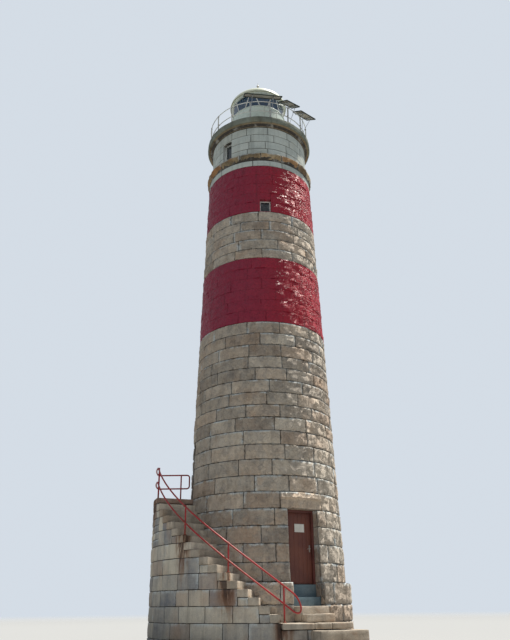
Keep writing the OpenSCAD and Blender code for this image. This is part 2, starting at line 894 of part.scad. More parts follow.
module lantern_glass() {
    color("darkslategray", 0.5)
        for (k = [0 : pane_pairs - 1]) {
            facing(first_pane_a + k * pane_pitch)
                pane(pane_foot_a, pane_head_a);
            facing(first_pane_a + (k + 0.5) * pane_pitch)
                pane(pane_pitch / 2 - pane_foot_a, pane_pitch / 2 - pane_head_a);
        }
}

// Steps of the dome's curve, and how far its eave band reaches in from the face of the low wall
dome_steps = 18;
eave_in = 80;

// Quarter ellipse of the dome's outer or inner face
function dome_curve(r, rise) = [for (i = [0 : dome_steps])
    [r * cos(90 * i / dome_steps), eave_z + rise * sin(90 * i / dome_steps)]];

// Dome: an elliptical shell with a flat eave band
module dome() {
    outer = dome_curve(dome_r, dome_rise);
    inner = dome_curve(dome_r - dome_t, dome_rise - dome_t);
    eave_r = lantern_r - eave_in;
    color("beige")
        union() {
            ring(concat(outer, [for (i = [dome_steps : -1 : 0]) inner[i]]));
            ring([[eave_r, eave_z], [dome_r, eave_z], [dome_r, eave_z + dome_t], [eave_r, eave_z + dome_t]]);
        }
}

// Lightning rod: socket on the dome, rod, and the ball near its tip
rod_socket_d = 90;
rod_socket_h = 40;
rod_d = 22;
rod_ball_d = 110;
rod_ball_drop = 200;

module lightning_rod() {
    color("gray")
        translate([0, 0, dome_top]) {
            cylinder(d = rod_socket_d, h = rod_socket_h, $fn = pipe_fn);
            translate([0, 0, rod_socket_h])
                cylinder(d = rod_d, h = rod_h - rod_socket_h, $fn = pipe_fn);
            translate([0, 0, rod_h - rod_ball_drop])
                sphere(d = rod_ball_d, $fn = pipe_fn);
        }
}

// Thickness of a panel's laminate, which lies in the top of the frame
laminate_t = 8;

// Moves a piece to a panel's middle, sloped as the panel is
module on_panel(p) {
    translate([p[1], -p[2], deck_z + p[3]])
        rotate([panel_slope, 0, 0])
            children();
}

// Framed panel: a rim with a hollow back under the laminate
module solar_panel(length) {
    difference() {
        translate([-length / 2, -panel_w / 2, -panel_t / 2])
            cube([length, panel_w, panel_t]);
        translate([-length / 2 + panel_rim, -panel_w / 2 + panel_rim, -panel_t / 2 - over])
            cube([length - 2 * panel_rim, panel_w - 2 * panel_rim, over + panel_t - laminate_t]);
    }
}

module solar_panels() {
    color("midnightblue")
        for (p = panels)
            facing(p[0])
                on_panel(p)
                    solar_panel(p[4]);
}

// Panel supports: share of the length from the middle to each bearer, section of a bearer, bars
bearer_share = 0.28;
bearer_w = 36;
bearer_h = 30;
bearer_past = 6;
leg_d = 18;
brace_d = 12;
// Places across the panel where a leg and a brace meet the bearer, and where the brace leaves the leg
leg_v = -panel_w / 3;
brace_v = panel_w * 0.42;
brace_from = 0.88;
bearer_middle = -panel_t / 2 - fit - bearer_h / 2;

// Point of a panel in the frame that it faces in, from places along, across and above its middle
function panel_point(p, x, v, w) = [
    p[1] + x,
    -p[2] + v * cos(panel_slope) - w * sin(panel_slope),
    deck_z + p[3] + v * sin(panel_slope) + w * cos(panel_slope)
];

// Square bar between two points
module square_bar(from, to, d) {
    way = to - from;
    translate(from)
        rotate([0, acos(way[2] / norm(way)), atan2(way[1], way[0])])
            translate([-d / 2, -d / 2, 0])
                cube([d, d, norm(way)]);
}

// Ends of the leg that carries a panel's bearer
function leg_foot(p, foot_a) = at(leg_foot_r, foot_a - p[0], deck_z + leg_foot_t);
function leg_head(p, x) = panel_point(p, x, leg_v, bearer_middle);

module panel_leg(p, x, foot_a) {
    foot = leg_foot(p, foot_a);
    facing(foot_a - p[0])
        translate([-leg_foot_d / 2, -leg_foot_r - leg_foot_d / 2, deck_z])
            cube([leg_foot_d, leg_foot_d, leg_foot_t]);
    square_bar(foot, leg_head(p, x), leg_d);
}

// Bearer under the panel with a brace down to the leg, both clear of the leg that enters them
module panel_bearer(p, x, foot_a) {
    foot = leg_foot(p, foot_a);
    head = leg_head(p, x);
    bearer_l = panel_w - 2 * bearer_past;
    difference() {
        union() {
            on_panel(p)
                translate([x - bearer_w / 2, -bearer_l / 2, bearer_middle - bearer_h / 2])
                    cube([bearer_w, bearer_l, bearer_h]);
            square_bar(foot + (head - foot) * brace_from, panel_point(p, x, brace_v, bearer_middle), brace_d);
        }
        square_bar(foot, head + (head - foot) / norm(head - foot) * fit, leg_d + 2 * fit);
    }
}

module panel_brackets() {
    color("silver")
        for (p = panels)
            facing(p[0])
                for (k = [0, 1]) {
                    x = (2 * k - 1) * bearer_share * p[4];
                    panel_leg(p, x, p[5][k]);
                    panel_bearer(p, x, p[5][k]);
                }
}

// Masonry of the stair: one pier under each tread, all running down to the ground
function tread_start(i) = first_riser_a - i * tread_angle;
function tread_top(i) = foot_slab_z + (i + 1) * riser_h;
function wall_gap_r(z) = (z > plinth_h ? shaft_r(z) : plinth_r) + fit;

// Profile of stair masonry between two heights, following the plinth and the shaft
function stair_profile(z0, z1) =
    z1 <= plinth_h ? [[stair_inner_r, z0], [stair_r, z0], [stair_r, z1], [stair_inner_r, z1]]
    : z0 >= plinth_h ? [[wall_gap_r(z0), z0], [stair_r, z0], [stair_r, z1], [wall_gap_r(z0), z1]]
    : [[stair_inner_r, z0], [stair_r, z0], [stair_r, z1], [wall_gap_r(plinth_h + 1), z1],
        [wall_gap_r(plinth_h + 1), plinth_h + 1], [stair_inner_r, plinth_h + 1]];

module stair_pier(i) {
    half = joint_angle(stair_r) / 2;
    top = tread_top(i) - riser_h - bed_gap;
    sector(stair_profile(0, top), tread_start(i + 1) + half, tread_start(i) - half);
}

module stair_base_lower() {
    color("tan")
        for (i = [0 : floor(risers_n / 2) - 1])
            stair_pier(i);
}

module stair_base_upper() {
    color("tan")
        for (i = [floor(risers_n / 2) : risers_n - 2])
            stair_pier(i);
}

module landing_base() {
    half = joint_angle(stair_r) / 2;
    color("tan")
        sector(stair_profile(0, base_h - landing_t - bed_gap), landing_end_a, landing_a - half);
}

module stair_treads() {
    half = joint_angle(stair_r) / 2;
    color("linen")
        for (i = [0 : risers_n - 2])
            sector(stair_profile(tread_top(i) - riser_h, tread_top(i) - bed_gap),
                tread_start(i + 1) + half, tread_start(i) - half);
}

module landing_slab() {
    half = joint_angle(stair_r) / 2;
    color("linen")
        sector(stair_profile(base_h - landing_t, base_h - bed_gap), landing_end_a, landing_a - half);
}

// Foot flange of a stair post, and how far the post stands over the top rail's line
flange_d = pipe_d * 2.4;
flange_t = 12;
post_top = 20;
// How far the foot post stands before the first riser, and the landing's posts in from its ends
foot_post_a = 1.6;
landing_head_a = 6;
landing_post_a = 2;
// Treads from the first riser to the two posts on the flight
flight_posts = [5, 10.26];
// Bearings of the posts on the stair and at the landing's outer corner
post_bearings = [
    first_riser_a + foot_post_a,
    first_riser_a - flight_posts[0] * tread_angle,
    first_riser_a - flight_posts[1] * tread_angle,
    landing_a - landing_head_a,
    landing_end_a + landing_post_a
];
// Height of the line of the treads at a bearing, level along the landing
function tread_line(a) = min(base_h, foot_slab_z + (first_riser_a - a) / tread_angle * riser_h);
// Height of the masonry top under a bearing
function step_top(a) = a > first_riser_a ? foot_slab_z
    : min(base_h, tread_top(floor((first_riser_a - a) / tread_angle)));

module stair_posts() {
    color("firebrick")
        for (a = post_bearings)
            translate(at(rail_r - pipe_d - fit, a, step_top(a))) {
                post_h = tread_line(a) + hand_rail_h + post_top - step_top(a);
                cylinder(d = flange_d, h = flange_t, $fn = pipe_fn);
                cylinder(d = pipe_d, h = post_h, $fn = pipe_fn);
            }
}

// The rails run from beyond the foot post to the landing's corner, in lengths that join at the posts
rail_past_a = 5.2;
rail_foot_a = first_riser_a + rail_past_a;
rail_joints = concat([rail_foot_a], [for (i = [1 : len(post_bearings) - 1]) post_bearings[i]]);
rail_step_a = 4;
bend_r = (hand_rail_h - mid_rail_h) / 2;
bend_steps = 8;
// Sides of the stair's pipes
pipe_sides = 8;

stair_slope = riser_h / (tread_angle * rail_r * PI / 180);

// A route has one spare point beyond each end, which only gives the direction there
function rail_point(a, h) = at(rail_r, a, tread_line(a) + h);
function rail_route(from, to, h) =
    let (half = joint_angle(rail_r, fit) / 2, n = ceil((from - to) / rail_step_a),
        step = (from - to - 2 * half) / n)
    [for (i = [-1 : n + 1]) rail_point(from - half - i * step, h)];

// The U bend that joins the two rails beyond the foot post, leaning with the slope of the stair
function bend_point(t) = at(rail_r, rail_foot_a + bend_r * sin(t) / rail_r * 180 / PI,
    tread_line(rail_foot_a) + (hand_rail_h + mid_rail_h) / 2 + bend_r * (cos(t) - stair_slope * sin(t)));
bend_route = [for (i = [-1 : bend_steps + 1]) bend_point(180 * i / bend_steps)];

// Unit vector, and the direction of a route at one of its inner points
function unit(v) = v / norm(v);
function route_dir(p, i) = unit(p[i + 1] - p[i - 1]);

// Round pipe carried along a route, with each ring square to the route
module pipe_along(p, d, sides) {
    n = len(p) - 2;
    rings = [for (i = [1 : n])
        let (t = route_dir(p, i), out = unit([p[i][0], p[i][1], 0]), side = unit(out - (out * t) * t),
            up = cross(t, side))
        for (k = [0 : sides - 1])
            p[i] + d / 2 * (side * cos(360 * k / sides) + up * sin(360 * k / sides))];
    walls = [for (i = [0 : n - 2])
        for (k = [0 : sides - 1])
            [i * sides + k, i * sides + (k + 1) % sides, (i + 1) * sides + (k + 1) % sides,
                (i + 1) * sides + k]];
    first = [[for (k = [sides - 1 : -1 : 0]) k]];
    last = [[for (k = [0 : sides - 1]) (n - 1) * sides + k]];
    polyhedron(rings, concat(walls, first, last), convexity = 8);
}

module stair_rails() {
    color("firebrick") {
        for (h = [hand_rail_h, mid_rail_h])
            for (i = [0 : len(rail_joints) - 2])
                pipe_along(rail_route(rail_joints[i], rail_joints[i + 1], h), pipe_d, pipe_sides);
        pipe_along(bend_route, pipe_d, pipe_sides);
    }
}

// How far the landing's rail keeps from the wall, and how far it is lower than the stair's rails
landing_rail_gap = 60;
landing_rail_drop = 30;
bend_fn = 96;

// Rail across the landing's far end: two rails that a bend joins at the wall, on an inner post
module landing_rail() {
    outer = rail_r - pipe_d * 1.5 - 2 * fit;
    inner = wall_gap_r(base_h) + bend_r + landing_rail_gap;
    z = base_h - landing_rail_drop;
    color("darkred")
        facing(landing_end_a + landing_post_a) {
            for (h = [hand_rail_h, mid_rail_h])
                translate([0, -inner, z + h])
                    rotate([90, 0, 0])
                        cylinder(d = pipe_d, h = outer - inner, $fn = pipe_fn);
            translate([0, -inner, z + (hand_rail_h + mid_rail_h) / 2])
                rotate([0, 90, 0])
                    rotate_extrude(angle = 180, $fn = bend_fn)
                        translate([bend_r, 0])
                            circle(d = pipe_d, $fn = pipe_fn);
            translate([0, -inner - landing_rail_gap, base_h])
                cylinder(d = pipe_d, h = hand_rail_h - landing_rail_drop, $fn = pipe_fn);
        }
}

base_wall();
entrance_lintel();
entrance_sill();
doorway_steps();
ground_floor();
first_floor();
watch_room_floor();
door_frame();
entrance_door();
door_handle();
door_hinges();
hinge_straps();
entrance_steps();
foot_slab();
foot_slab_base();
low_steps();
shaft_lower();
lower_red_band();
shaft_middle();
upper_red_band();
white_course();
string_course();
watch_room_wall();
gallery_cornice();
gallery_deck();
gallery_posts();
gallery_rails();
upper_door_frame();
upper_door();
window_frames();
window_panes();
lantern_wall();
lantern_door();
lantern_sill();
glazing_bars();
lantern_head();
lantern_glass();
dome();
lightning_rod();
solar_panels();
panel_brackets();
stair_base_lower();
stair_base_upper();
landing_base();
stair_treads();
landing_slab();
stair_posts();
stair_rails();
landing_rail();
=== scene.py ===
"""Looks of a stone lighthouse, made over its construction model.

Lengths are in metres. The origin is on the tower's axis at ground level, +Z is up and the entrance faces -Y.
A bearing is an angle in plan, in radians, from -Y towards +X.
"""

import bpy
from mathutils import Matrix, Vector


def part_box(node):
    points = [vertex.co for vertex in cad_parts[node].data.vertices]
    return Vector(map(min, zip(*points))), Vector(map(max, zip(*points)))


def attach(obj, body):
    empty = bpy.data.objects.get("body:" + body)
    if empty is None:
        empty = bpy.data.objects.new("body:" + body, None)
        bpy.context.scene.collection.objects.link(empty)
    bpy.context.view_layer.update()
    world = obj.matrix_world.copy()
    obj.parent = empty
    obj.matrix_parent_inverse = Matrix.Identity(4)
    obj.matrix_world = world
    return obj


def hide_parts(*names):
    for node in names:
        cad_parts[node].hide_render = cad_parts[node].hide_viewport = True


bl_info = {
    "name": "Stone Lighthouse",
    "version": (1, 0, 0),
    "blender": (4, 5, 0),
    "location": "View3D > Sidebar > Lighthouse",
    "description": "Masonry, paint, joinery, rails and lantern of a stone lighthouse",
    "category": "Add Mesh",
}

from math import asin, cos, pi, radians, sin, sqrt

import bmesh
import bpy
import numpy as np
from bpy.props import FloatProperty, FloatVectorProperty, IntProperty, PointerProperty
from mathutils import Matrix

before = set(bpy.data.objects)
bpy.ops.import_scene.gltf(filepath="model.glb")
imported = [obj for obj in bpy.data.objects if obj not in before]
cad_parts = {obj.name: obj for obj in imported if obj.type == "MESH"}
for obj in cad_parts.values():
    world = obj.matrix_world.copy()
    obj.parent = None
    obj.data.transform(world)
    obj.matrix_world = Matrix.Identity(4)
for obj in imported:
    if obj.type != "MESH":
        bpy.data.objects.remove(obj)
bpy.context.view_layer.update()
TOWER, DOOR = "tower", "door"
BOXES = {node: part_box(node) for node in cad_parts}


def foot(node):
    """Height of a node's lowest point."""
    return BOXES[node][0].z


def head(node):
    """Height of a node's highest point."""
    return BOXES[node][1].z


def half_width(node):
    """Radius of a round node."""
    return BOXES[node][1].x


# Faces of the round walls
PLINTH_R = half_width("base_wall")
PLINTH_TOP = 1.74
LOW_Z, TOP_Z = foot("shaft_lower"), foot("white_course")
LOW_R, TOP_R = half_width("shaft_lower"), half_width("white_course")
ROOM_R, SHAFT_ROOM_R = half_width("ground_floor"), half_width("first_floor")
WATCH_R, WATCH_CORE_T = half_width("watch_room_wall"), 0.35
STRING_R = half_width("string_course")
DECK_R = half_width("gallery_deck")

# Entrance
DOOR_HALF = 0.53
THRESHOLD_Z = head("entrance_sill")
DOOR_HEAD_Z = foot("entrance_lintel")
LINTEL_HALF = half_width("entrance_lintel")
LINTEL_FACE_R = 2.55
LEAF_FRONT = BOXES["entrance_door"][0].y
FOOT_SLAB_Z = head("foot_slab")
SOFFIT_FRONT_Y, PASSAGE_BACK_Y = -2.44, -1.27
SILL_FRONT_Y, SILL_BACK_Y = -2.25, -1.14
NOTICE_X, NOTICE_Z = (-0.122, 0.224), (3.188, 3.432)
BACKSET = 0.070

# Winding stair
STAIR_R = 3.76
STAIR_CORE_R = STAIR_R - 0.050
LANDING_Z, LANDING_FOOT_Z = head("landing_slab"), foot("landing_slab")
RISERS = 17
RISER_H = (LANDING_Z - FOOT_SLAB_Z) / RISERS
TREAD_A = radians(4.56)
FIRST_RISER_A = radians(-22.1)
LANDING_A = FIRST_RISER_A - (RISERS - 1) * TREAD_A
LANDING_SPAN = radians(25.5)
LANDING_END_A = LANDING_A - LANDING_SPAN
LOW_COURSE_Z = 0.25
RAIL_R = STAIR_R - 0.06
HAND_H, MID_H = 1.0, 0.54
PIPE_R = 0.024
STAIR_POST_R = RAIL_R - 2 * PIPE_R - 0.0005
END_POST_A = LANDING_END_A + radians(2)
POST_BEARINGS = [
    FIRST_RISER_A + radians(1.6), FIRST_RISER_A - 5 * TREAD_A, FIRST_RISER_A - 10.26 * TREAD_A,
    LANDING_A - radians(6), END_POST_A,
]

# Openings: bearing, width, foot and head
UPPER_DOOR = (LANDING_A - LANDING_SPAN * 0.52, 0.86, LANDING_Z, LANDING_Z + 1.98)
BAND_WINDOW = (radians(-22.5), 0.42, foot("upper_red_band"), foot("upper_red_band") + 0.54)
WATCH_WINDOW = (radians(-69.5), 0.45, foot("watch_room_wall") + 0.1, foot("watch_room_wall") + 1.0)
DOORWAY = (0.0, 2 * DOOR_HALF, -0.1, DOOR_HEAD_Z)
LINTEL = (0.0, 2 * LINTEL_HALF, DOOR_HEAD_Z, LANDING_Z)
UPPER_SOFFIT_FRONT_Y, UPPER_BACK_Y = -2.30, -1.33
UPPER_LEAF_SET_IN = 0.45

# Gallery and lantern
DECK_Z = head("gallery_deck")
GALLERY_POSTS = 16
FIRST_POST_A = radians(-37.5)
POST_RING_R = DECK_R - 0.13
GALLERY_RAIL_H, GALLERY_MID_H = 0.85, 0.4
LANTERN_R = half_width("lantern_wall")
BAR_RING_R = LANTERN_R - 0.055
GLAZING_Z, GLAZING_TOP = head("lantern_sill"), foot("lantern_head")
DOME_R = half_width("dome")
EAVE_Z, DOME_TOP = foot("dome"), head("dome")
ROD_TOP = head("lightning_rod")

# Solar panels
PANEL_LENGTHS = (1.58, 0.70, 0.85)
PANEL_FACING = (radians(-20), radians(8), radians(12))
PANEL_DROP = (0.0, 0.02, 0.2)
PANEL_W, PANEL_T, PANEL_RIM, PANEL_SLOPE, PANEL_H = 0.6, 0.04, 0.025, radians(30), 1.26
BEARER_SHARE = 0.28
BEARER_W = -PANEL_T / 2 - 0.0005 - 0.015
LEG_FOOT_R = POST_RING_R + 0.078
LEG_SPREAD_A = radians(0.876)


def shaft_radius(z):
    """Radius of the shaft's face, which falls in a straight line with height."""
    return LOW_R + (TOP_R - LOW_R) * (z - LOW_Z) / (TOP_Z - LOW_Z)


def tower_radius(z):
    """Radius of the tower's face: the plinth's below its top, the shaft's above."""
    return np.where(np.asarray(z) < PLINTH_TOP, PLINTH_R, shaft_radius(z))


def upright(radius):
    """Radius of an upright wall's face at any height."""
    return lambda z: radius + 0 * np.asarray(z)


# Shapes

def lattice(cell, seed):
    """Value from -1 to 1 for each whole-number point, from a hash of its three coordinates and a seed."""
    mask = 0xFFFFFFFF
    value = (cell[..., 0] * 374761393 + cell[..., 1] * 668265263 + cell[..., 2] * 974634777
             + seed * 1274126177) & mask
    value = ((value ^ (value >> 13)) * 1274126177) & mask
    return ((value ^ (value >> 16)) & 0xFFFF) / 32767.5 - 1


def noise(points, size, seed=0):
    """Smooth value noise in cells of the given size. Along each axis it blends lattice values by three times
    the square of t less twice its cube, t being the share of the cell that is passed."""
    scaled = points / size
    base = np.floor(scaled).astype(np.int64)
    t = scaled - base
    t = t * t * (3 - 2 * t)
    total = 0
    for corner in range(8):
        offset = np.array([corner & 1, corner >> 1 & 1, corner >> 2])
        weight = np.where(offset, t, 1 - t).prod(-1)
        total = total + weight * lattice(base + offset, seed)
    return total


def facets(points, size, seed=0):
    """Relief of flat facets, about -1 to 1: each point takes the tilted plane of its nearest centre."""
    scaled = points / size
    base = np.floor(scaled).astype(np.int64)
    nearest = np.full(points.shape[:-1], 9.0)
    height = np.zeros(points.shape[:-1])
    for k in range(27):
        cell = base + np.array([k % 3 - 1, k // 3 % 3 - 1, k // 9 - 1])
        shift = np.stack([lattice(cell, seed + 20 + axis) for axis in range(3)], -1) * 0.45 + 0.5
        tilt = np.stack([lattice(cell, seed + 30 + axis) for axis in range(3)], -1)
        gap = scaled - cell - shift
        distance = (gap ** 2).sum(-1)
        closer = distance < nearest
        nearest = np.where(closer, distance, nearest)
        height = np.where(closer, (gap * tilt).sum(-1) + 0.35 * lattice(cell, seed + 40), height)
    return height


def rock(points, seed=0):
    """Relief of split stone, about -1 to 1: large and small facets on a slow swell."""
    return (0.55 * facets(points, 0.27, seed) + 0.28 * facets(points, 0.13, seed + 1)
            + 0.30 * noise(points, 0.45, seed + 2))


class Shape:
    """Points, faces grouped by their number of corners, and values per point that the materials read."""

    def __init__(self, points, faces, **marks):
        self.points = np.asarray(points, float).reshape(-1, 3)
        self.faces = [np.asarray(group).reshape(-1, np.shape(group)[-1]) for group in faces]
        count = len(self.points)
        self.marks = {key: np.broadcast_to(np.asarray(value, float).ravel(), count)
                      for key, value in marks.items()}

    def turned(self, bearing):
        """The same shape turned about the tower's axis."""
        c, s = cos(bearing), sin(bearing)
        x, y, z = self.points.T
        return Shape(np.stack([c * x - s * y, s * x + c * y, z], -1), self.faces, **self.marks)


def joined(shapes):
    """One shape of several, each with its own points."""
    keys = {key for shape in shapes for key in shape.marks}
    starts = np.cumsum([0] + [len(shape.points) for shape in shapes])
    faces = [group + start for shape, start in zip(shapes, starts) for group in shape.faces]
    marks = {key: np.concatenate([shape.marks.get(key, np.zeros(len(shape.points))) for shape in shapes])
             for key in keys}
    return Shape(np.concatenate([shape.points for shape in shapes]), faces, **marks)


def make(name, shape, finish, slot, *stands_for, body=TOWER):
    """Puts a shape in the scene as a piece, which may stand for nodes of the construction model."""
    mesh = bpy.data.meshes.new(name)
    sizes = np.concatenate([np.full(len(group), group.shape[1]) for group in shape.faces])
    corners = np.concatenate([group.ravel() for group in shape.faces])
    mesh.vertices.add(len(shape.points))
    mesh.vertices.foreach_set("co", shape.points.ravel())
    mesh.loops.add(len(corners))
    mesh.loops.foreach_set("vertex_index", corners)
    mesh.polygons.add(len(sizes))
    mesh.polygons.foreach_set("loop_start", np.cumsum(sizes) - sizes)
    mesh.update(calc_edges=True)
    for key, values in shape.marks.items():
        layer = mesh.attributes.new(key, "FLOAT", "POINT")
        layer.data.foreach_set("value", values)
    face_out(mesh)
    show(name, mesh, finish, body, stands_for)


def face_out(mesh):
    """Turns each closed shell's faces outward."""
    work = bmesh.new()
    work.from_mesh(mesh)
    bmesh.ops.recalc_face_normals(work, faces=work.faces)
    work.to_mesh(mesh)
    work.free()


def show(name, mesh, finish, body, stands_for, crease=40):
    """Links a mesh as a piece with its finish and body, smooth but where it turns past the crease."""
    mesh.polygons.foreach_set("use_smooth", np.ones(len(mesh.polygons), bool))
    mesh.set_sharp_from_angle(angle=radians(crease))
    piece = bpy.data.objects.new(name, mesh)
    bpy.context.scene.collection.objects.link(piece)
    mesh.materials.append(finish)
    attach(piece, body)
    if stands_for:
        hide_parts(*stands_for)
    return piece


def dress(node, finish):
    """Gives a CAD node that is shown as it is its finish."""
    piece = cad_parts[node]
    piece.data.materials.clear()
    piece.data.materials.append(finish)


def softened(name, node, finish, width, body=TOWER):
    """Copy of a CAD node with its points merged, flat faces made whole and edges rounded."""
    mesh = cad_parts[node].data.copy()
    mesh.name = name
    mesh.materials.clear()
    work = bmesh.new()
    work.from_mesh(mesh)
    bmesh.ops.remove_doubles(work, verts=work.verts, dist=1e-5)
    bmesh.ops.dissolve_limit(work, angle_limit=radians(0.3), verts=work.verts, edges=work.edges)
    bmesh.ops.recalc_face_normals(work, faces=work.faces)
    work.to_mesh(mesh)
    work.free()
    piece = show(name, mesh, finish, body, (node,), 35)
    bevel = piece.modifiers.new("Edges", "BEVEL")
    bevel.width = width
    bevel.segments = 2
    bevel.limit_method = "ANGLE"
    bevel.angle_limit = radians(30)
    bevel.harden_normals = True


def loft(rings, closed=False, **marks):
    """Closed shape through rings of points: quads from ring to ring, and a face on each open end."""
    rings = np.asarray(rings, float)
    n, k = rings.shape[:2]
    index = np.arange(n * k).reshape(n, k)
    after = np.roll(index, -1, 0) if closed else index[1:]
    here = index if closed else index[:-1]
    quads = np.stack([here, np.roll(here, -1, 1), np.roll(after, -1, 1), after], -1)
    faces = [quads.reshape(-1, 4)]
    if not closed:
        faces += [index[:1, ::-1], index[-1:]]
    return Shape(rings, faces, **marks)


def arc_bearings(start, end, steps):
    """Bearings in equal steps from start to end, both of which may differ for each point of a profile."""
    t = np.linspace(0, 1, steps + 1)[:, None]
    return np.atleast_1d(start) * (1 - t) + np.atleast_1d(end) * t


def polar(bearing, radius, z):
    """Points at bearings, radii and heights."""
    return np.stack(np.broadcast_arrays(radius * np.sin(bearing), -radius * np.cos(bearing), z), -1)


def rectangle(inner, outer, low, high):
    """Section of a wall or a ring with square edges."""
    return [[inner, low], [outer, low], [outer, high], [inner, high]]


def arc_solid(profile, start, end, steps, **marks):
    """Profile of [radius, height] points carried round the axis from one bearing to another."""
    profile = np.asarray(profile, float)
    return loft(polar(arc_bearings(start, end, steps), profile[:, 0], profile[:, 1]), **marks)


def ring_solid(profile, steps=192, **marks):
    """Profile of [radius, height] points carried once round the axis."""
    profile = np.asarray(profile, float)
    bearings = np.arange(steps)[:, None] * 2 * pi / steps
    return loft(polar(bearings, profile[:, 0], profile[:, 1]), closed=True, **marks)


def lathe(profile, centre=(0, 0, 0), steps=32, **marks):
    """Profile that starts and ends on its own upright axis, turned once and closed at both ends."""
    profile = np.asarray(profile, float)
    angle = np.arange(steps)[None, :] * 2 * pi / steps
    radius = np.maximum(profile[:, :1], 1e-4)
    rings = np.stack(np.broadcast_arrays(radius * np.cos(angle), radius * np.sin(angle), profile[:, 1:]), -1)
    return loft(rings + np.asarray(centre), **marks)


def lathe_out(profile, centre, steps, tall=1.0, **marks):
    """Profile turned about a level axis that points to -Y, and stretched upward."""
    shape = lathe(profile, steps=steps, **marks)
    shape.points = shape.points[:, [0, 2, 1]] * np.array([1, -1, tall]) + np.asarray(centre)
    return shape


def bolts(profile, centre, radius, turn=0.0):
    """Four six-sided bolt heads on a circle about a centre."""
    angles = [k * pi / 2 + pi / 4 + turn for k in range(4)]
    return [lathe(profile, centre + np.array([radius * cos(a), radius * sin(a), 0]), 6, rust=1.0)
            for a in angles]


def side_bearing(centre, offset, radius):
    """Bearing of a line that runs beside an opening's middle line at an offset, at a radius."""
    return centre + np.arcsin(offset / radius)


def unit(vectors):
    """Vectors of length one."""
    return vectors / np.linalg.norm(vectors, axis=-1, keepdims=True)


def sweep(path, section, out, closed=False, **marks):
    """Section of [across, along out] points carried square to a path; out is a direction at each point."""
    path = np.asarray(path, float)
    section = np.asarray(section, float)
    ahead = np.roll(path, -1, 0) - np.roll(path, 1, 0)
    if not closed:
        ahead[0] = path[1] - path[0]
        ahead[-1] = path[-1] - path[-2]
    ahead = unit(ahead)
    out = np.broadcast_to(np.asarray(out, float), path.shape)
    side = unit(np.cross(ahead, out))
    up = np.cross(side, ahead)
    if section.ndim == 2:
        section = section[None]
    rings = path[:, None] + section[..., :1] * side[:, None] + section[..., 1:] * up[:, None]
    return loft(rings, closed, **marks)


def circle(radius, sides=16):
    """Section of a round bar."""
    angle = np.arange(sides) * 2 * pi / sides
    return radius * np.stack([np.cos(angle), np.sin(angle)], -1)


def tube(path, radius, out=(0, 0, 1), sides=16, closed=False, **marks):
    """Round bar along a path."""
    return sweep(path, circle(radius, sides), out, closed, **marks)


def bar(start, end, radius, sides=16, swell=0.0, **marks):
    """Round bar from point to point, with a swell at its middle."""
    t = np.array([0, 0.004, 0.25, 0.5, 0.75, 0.996, 1])
    size = np.array([0.85, 1, 1 + swell * 0.8, 1 + swell, 1 + swell * 0.8, 1, 0.85]) * radius
    start, end = np.asarray(start, float), np.asarray(end, float)
    path = start + (end - start) * t[:, None]
    out = (1, 0, 0) if abs(end[2] - start[2]) > 0.7 * np.linalg.norm(end - start) else (0, 0, 1)
    return sweep(path, circle(1, sides)[None] * size[:, None, None], out, **marks)


def rounded_section(between, arc=3):
    """Walk round a rounded rectangle: for each point the signs of its centre and its arc's direction."""
    corners = np.array([[1.0, 1.0], [-1.0, 1.0], [-1.0, -1.0], [1.0, -1.0]])
    angles, signs = [], []
    for k, centre in enumerate(corners):
        turn = k * pi / 2 + np.linspace(0, pi / 2, arc)
        t = (np.arange(between) + 1)[:, None] / (between + 1)
        angles += [turn, np.full(between, turn[-1])]
        signs += [np.repeat([centre], arc, 0), centre * (1 - t) + corners[(k + 1) % 4] * t]
    angle = np.concatenate(angles)
    return np.concatenate(signs), np.stack([np.cos(angle), np.sin(angle)], -1)


def block(place, low, high, rounding, wear=0.0, seed=0, along=8, between=3, dip=0.0, **marks):
    """Stone block with rounded edges in a chart (u, v, w) -> point.

    Rings of a rounded rectangle in v and w follow u, and shrink in a quarter circle at both ends. Noise
    moves the faces in and out by the wear, and the top face sinks by the dip towards its middle."""
    low, high = np.asarray(low, float), np.asarray(high, float)
    signs, arcs = rounded_section(between)
    turn = np.linspace(0, pi / 2, 3)
    inset_end = rounding * (1 - np.sin(turn))
    u_end = rounding * (1 - np.cos(turn))
    middle = np.linspace(low[0] + rounding, high[0] - rounding, along + 1)[1:-1]
    u = np.concatenate([low[0] + u_end, middle, high[0] - u_end[::-1]])
    inset = np.concatenate([inset_end, np.zeros(len(middle)), inset_end[::-1]])
    half = (high[1:] - low[1:]) / 2
    centre = (high[1:] + low[1:]) / 2
    radius = np.maximum(rounding - inset, 0.12 * rounding)[:, None, None]
    vw = centre + signs * (half - inset[:, None, None] - radius) + arcs * radius
    u = np.repeat(u[:, None], len(signs), 1)
    points = place(u, vw[..., 0], vw[..., 1])
    shift = (noise(points, 0.3, seed) * 0.6 + noise(points, 0.09, seed + 5) * 0.4) * wear - wear
    vw = vw + arcs * shift[..., None]
    middle_share = (np.sin(np.clip((u - low[0]) / (high[0] - low[0]), 0, 1) * pi)) ** 2
    vw[..., 1] -= dip * middle_share * np.clip(arcs[..., 1], 0, 1) ** 4
    return loft(place(u, vw[..., 0], vw[..., 1]), **marks)


def straight(origin=(0, 0, 0), u=(1, 0, 0), v=(0, 1, 0), w=(0, 0, 1)):
    """Chart of straight axes from an origin."""
    origin, u, v, w = (np.asarray(axis, float) for axis in (origin, u, v, w))

    def place(a, b, c):
        a, b, c = np.broadcast_arrays(a, b, c)
        return origin + a[..., None] * u + b[..., None] * v + c[..., None] * w

    return place


def facing(bearing):
    """Chart for pieces drawn as if they faced -Y: (x, y, z) turned about the axis to a bearing."""
    c, s = cos(bearing), sin(bearing)
    return straight((0, 0, 0), (c, s, 0), (-s, c, 0), (0, 0, 1))


# Masonry

